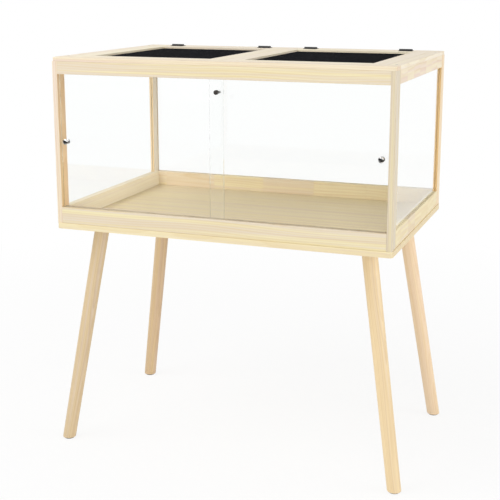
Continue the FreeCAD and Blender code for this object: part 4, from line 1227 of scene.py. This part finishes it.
print("screw tree with", len(screw_tree.nodes), "nodes")

# %% [markdown]
# A screw points down from its head, which is closed by a cross recess that narrows to its floor.
# The pattern screw has a small chamfer around the head, the countersunk cone and a plain shank,
# whose thread is in the wood.

# %% Pattern screw
RECESS_REACH = 0.52
RECESS_HALF_WIDTH = 0.13
RECESS_DEPTH = 0.42
RECESS_FLOOR = 0.45
HEAD_CHAMFER = 0.07
TIP_SHARE = 0.4
HEAD_POINTS = 24


def recess_outline(reach, half_width):
    """A cross with 24 points, from its first arm round."""
    shoulder = (reach + half_width) / 2
    arm = [(reach, -half_width), (reach, 0), (reach, half_width)]
    arm += [(shoulder, half_width), (half_width, half_width), (half_width, shoulder)]
    points = []
    for _ in range(4):
        points += arm
        arm = [(-y, x) for x, y in arm]
    return points


def screw_mesh(circles, head_radius, recess_top, recess_floor, place=Matrix.Identity(4)):
    """A screw from circles of (radius, height) and the two levels of its recess."""
    shape = bmesh.new()
    cross = recess_outline(RECESS_REACH * head_radius, RECESS_HALF_WIDTH * head_radius)
    levels = [(circle_points(radius, HEAD_POINTS, -1), height) for radius, height in circles]
    levels.append((cross, recess_top))
    levels.append(([(x * RECESS_FLOOR, y * RECESS_FLOOR) for x, y in cross], recess_floor))
    rings = []
    for points, height in levels:
        rings.append([shape.verts.new(place @ Vector((x, y, height))) for x, y in points])
    skin(shape, rings)
    return mesh_from(shape)


def wood_screw_mesh(head_radius, shank_radius, length):
    """A countersunk screw with its head's face at the origin, pointing down."""
    circles = (
        (shank_radius * TIP_SHARE, -length),
        (shank_radius, -length + 2 * shank_radius),
        (shank_radius, -(head_radius - shank_radius)),
        (head_radius, -HEAD_CHAMFER * head_radius),
        (head_radius * (1 - HEAD_CHAMFER), 0),
    )
    return screw_mesh(circles, head_radius, 0, -RECESS_DEPTH * head_radius)


print("pattern screw ready")

# %% [markdown]
# The measured screws are sorted into kinds by their head, shank and length. Each kind gets one
# pattern screw, and a mesh of bare points, one at each head, on which the tree sets it.

# %% Driven screws
SAME_LEVEL = 0.01 * MM


def islands(node):
    """The loose pieces of a measured piece, each as a list of its points."""
    shape = merged_copy(node, whole_faces=False)
    waiting = set(shape.verts)
    found = []
    while waiting:
        front = [waiting.pop()]
        island = []
        while front:
            vertex = front.pop()
            island.append(vertex.co.copy())
            for edge in vertex.link_edges:
                other = edge.other_vert(vertex)
                if other in waiting:
                    waiting.remove(other)
                    front.append(other)
        found.append(island)
    shape.free()
    return found


def screw_kinds(node):
    """The kinds of screw in a measured piece, each with the places of its heads."""
    kinds = {}
    for island in islands(node):
        low = Vector([min(point[axis] for point in island) for axis in range(3)])
        high = Vector([max(point[axis] for point in island) for axis in range(3)])
        middle = (low + high) / 2
        reach_at = [
            max((point - middle).xy.length for point in island if abs(point.z - level) < SAME_LEVEL)
            for level in (low.z, high.z)
        ]
        upwards = reach_at[0] > reach_at[1]
        sizes = (max(reach_at), min(reach_at), high.z - low.z)
        kind = (*(round(size, 5) for size in sizes), upwards)
        kinds.setdefault(kind, []).append((middle.x, middle.y, low.z if upwards else high.z))
    return kinds


def driven_screws(node, seed):
    """All screws of a measured piece as one mesh."""
    parts = []
    for (head_radius, shank_radius, length, upwards), places in screw_kinds(node).items():
        pattern = bpy.data.objects.new("pattern", wood_screw_mesh(head_radius, shank_radius, length))
        bpy.context.scene.collection.objects.link(pattern)
        points = bpy.data.meshes.new("places")
        points.from_pydata(places, [], [])
        settings = {
            SCREW_INPUTS["pattern"]: pattern,
            SCREW_INPUTS["tilt"]: math.pi if upwards else 0.0,
            SCREW_INPUTS["seed"]: seed,
            SCREW_INPUTS["finish"]: finishes[node],
        }
        parts.append(convert(node, points, ("NODES", {"node_group": screw_tree, **settings})))
        bpy.data.objects.remove(pattern)
    return joined(parts)


for seed, node in enumerate(["frame_screws"] + [f"{part}_screws" for part in HINGE_PARTS], 1):
    finish_piece(f"driven_{node}", driven_screws(node, seed), finishes[node], BODY_OF[node], [node])
    print(node, "made as driven screws")

# %% [markdown]
# A knob's screw comes through the pane from inside. Its pan head is domed and has the same cross
# recess, and it lies flat on the glass; the shank is seen through the hole in the pane.

# %% Knob screws
PAN_DOME = ((1.0, 0.0), (1.0, 0.35), (0.93, 0.68), (0.78, 0.88), (0.62, 0.97))
PAN_FLOOR = 0.35
PAN_TIP_SHARE = 0.8
PAN_TIP_START = 0.95
TURN_TO_BACK = AXES["y"].to_track_quat("Z", "X").to_matrix().to_4x4()


def pan_screw_mesh(seat, head_radius, head_height, shank_radius, shank_length):
    """A pan-head screw that points to -Y from its seat, with its head on the +Y side."""
    circles = [
        (shank_radius * PAN_TIP_SHARE, -shank_length),
        (shank_radius, -shank_length * PAN_TIP_START),
        (shank_radius, 0),
    ]
    circles += [(head_radius * out, head_height * up) for out, up in PAN_DOME]
    place = Matrix.Translation(seat) @ TURN_TO_BACK
    return screw_mesh(circles, head_radius, head_height, head_height * PAN_FLOOR, place)


for side in ("left", "right"):
    node = f"door_{side}_knob_screw"
    low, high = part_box(node)
    middle = (low + high) / 2
    glass_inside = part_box(f"door_{side}_glass")[1].y
    (island,) = islands(node)
    tip = [point for point in island if point.y - low.y < SAME_LEVEL]
    shank_radius = max((point - middle).xz.length for point in tip)
    seat = Vector((middle.x, glass_inside, middle.z))
    head_radius, head_height = (high.x - low.x) / 2, high.y - glass_inside
    screw = pan_screw_mesh(seat, head_radius, head_height, shank_radius, glass_inside - low.y)
    finish_piece(f"pan_screw_{side}", screw, finishes[node], BODY_OF[node], [node])
    print(node, "shank radius", round(shank_radius / MM, 2), "mm")

# %% [markdown]
# A small butt hinge is a strip of steel rolled around its pin. The measured leaves already have
# their knuckles, notches and screw holes, so they keep their form and only lose their knife edges:
# every sharp edge gets a narrow rounding, which is what catches the light on black lacquer.

# %% Hinges
LACQUER_EDGE = 0.12 * MM
HINGE_SHARP = math.radians(50)
SOFTEN = {
    "width": LACQUER_EDGE, "segments": 1, "limit_method": "ANGLE", "angle_limit": HINGE_SHARP,
}

for part in HINGE_PARTS:
    node = f"{part}_leaves"
    leaves = convert(node, mesh_from(merged_copy(node)), ("BEVEL", SOFTEN))
    finish_piece(f"rolled_{node}", leaves, finishes[node], BODY_OF[node], [node])
    print(node, len(leaves.polygons), "faces")

# %% [markdown]

# %% Finish
print("model finished")
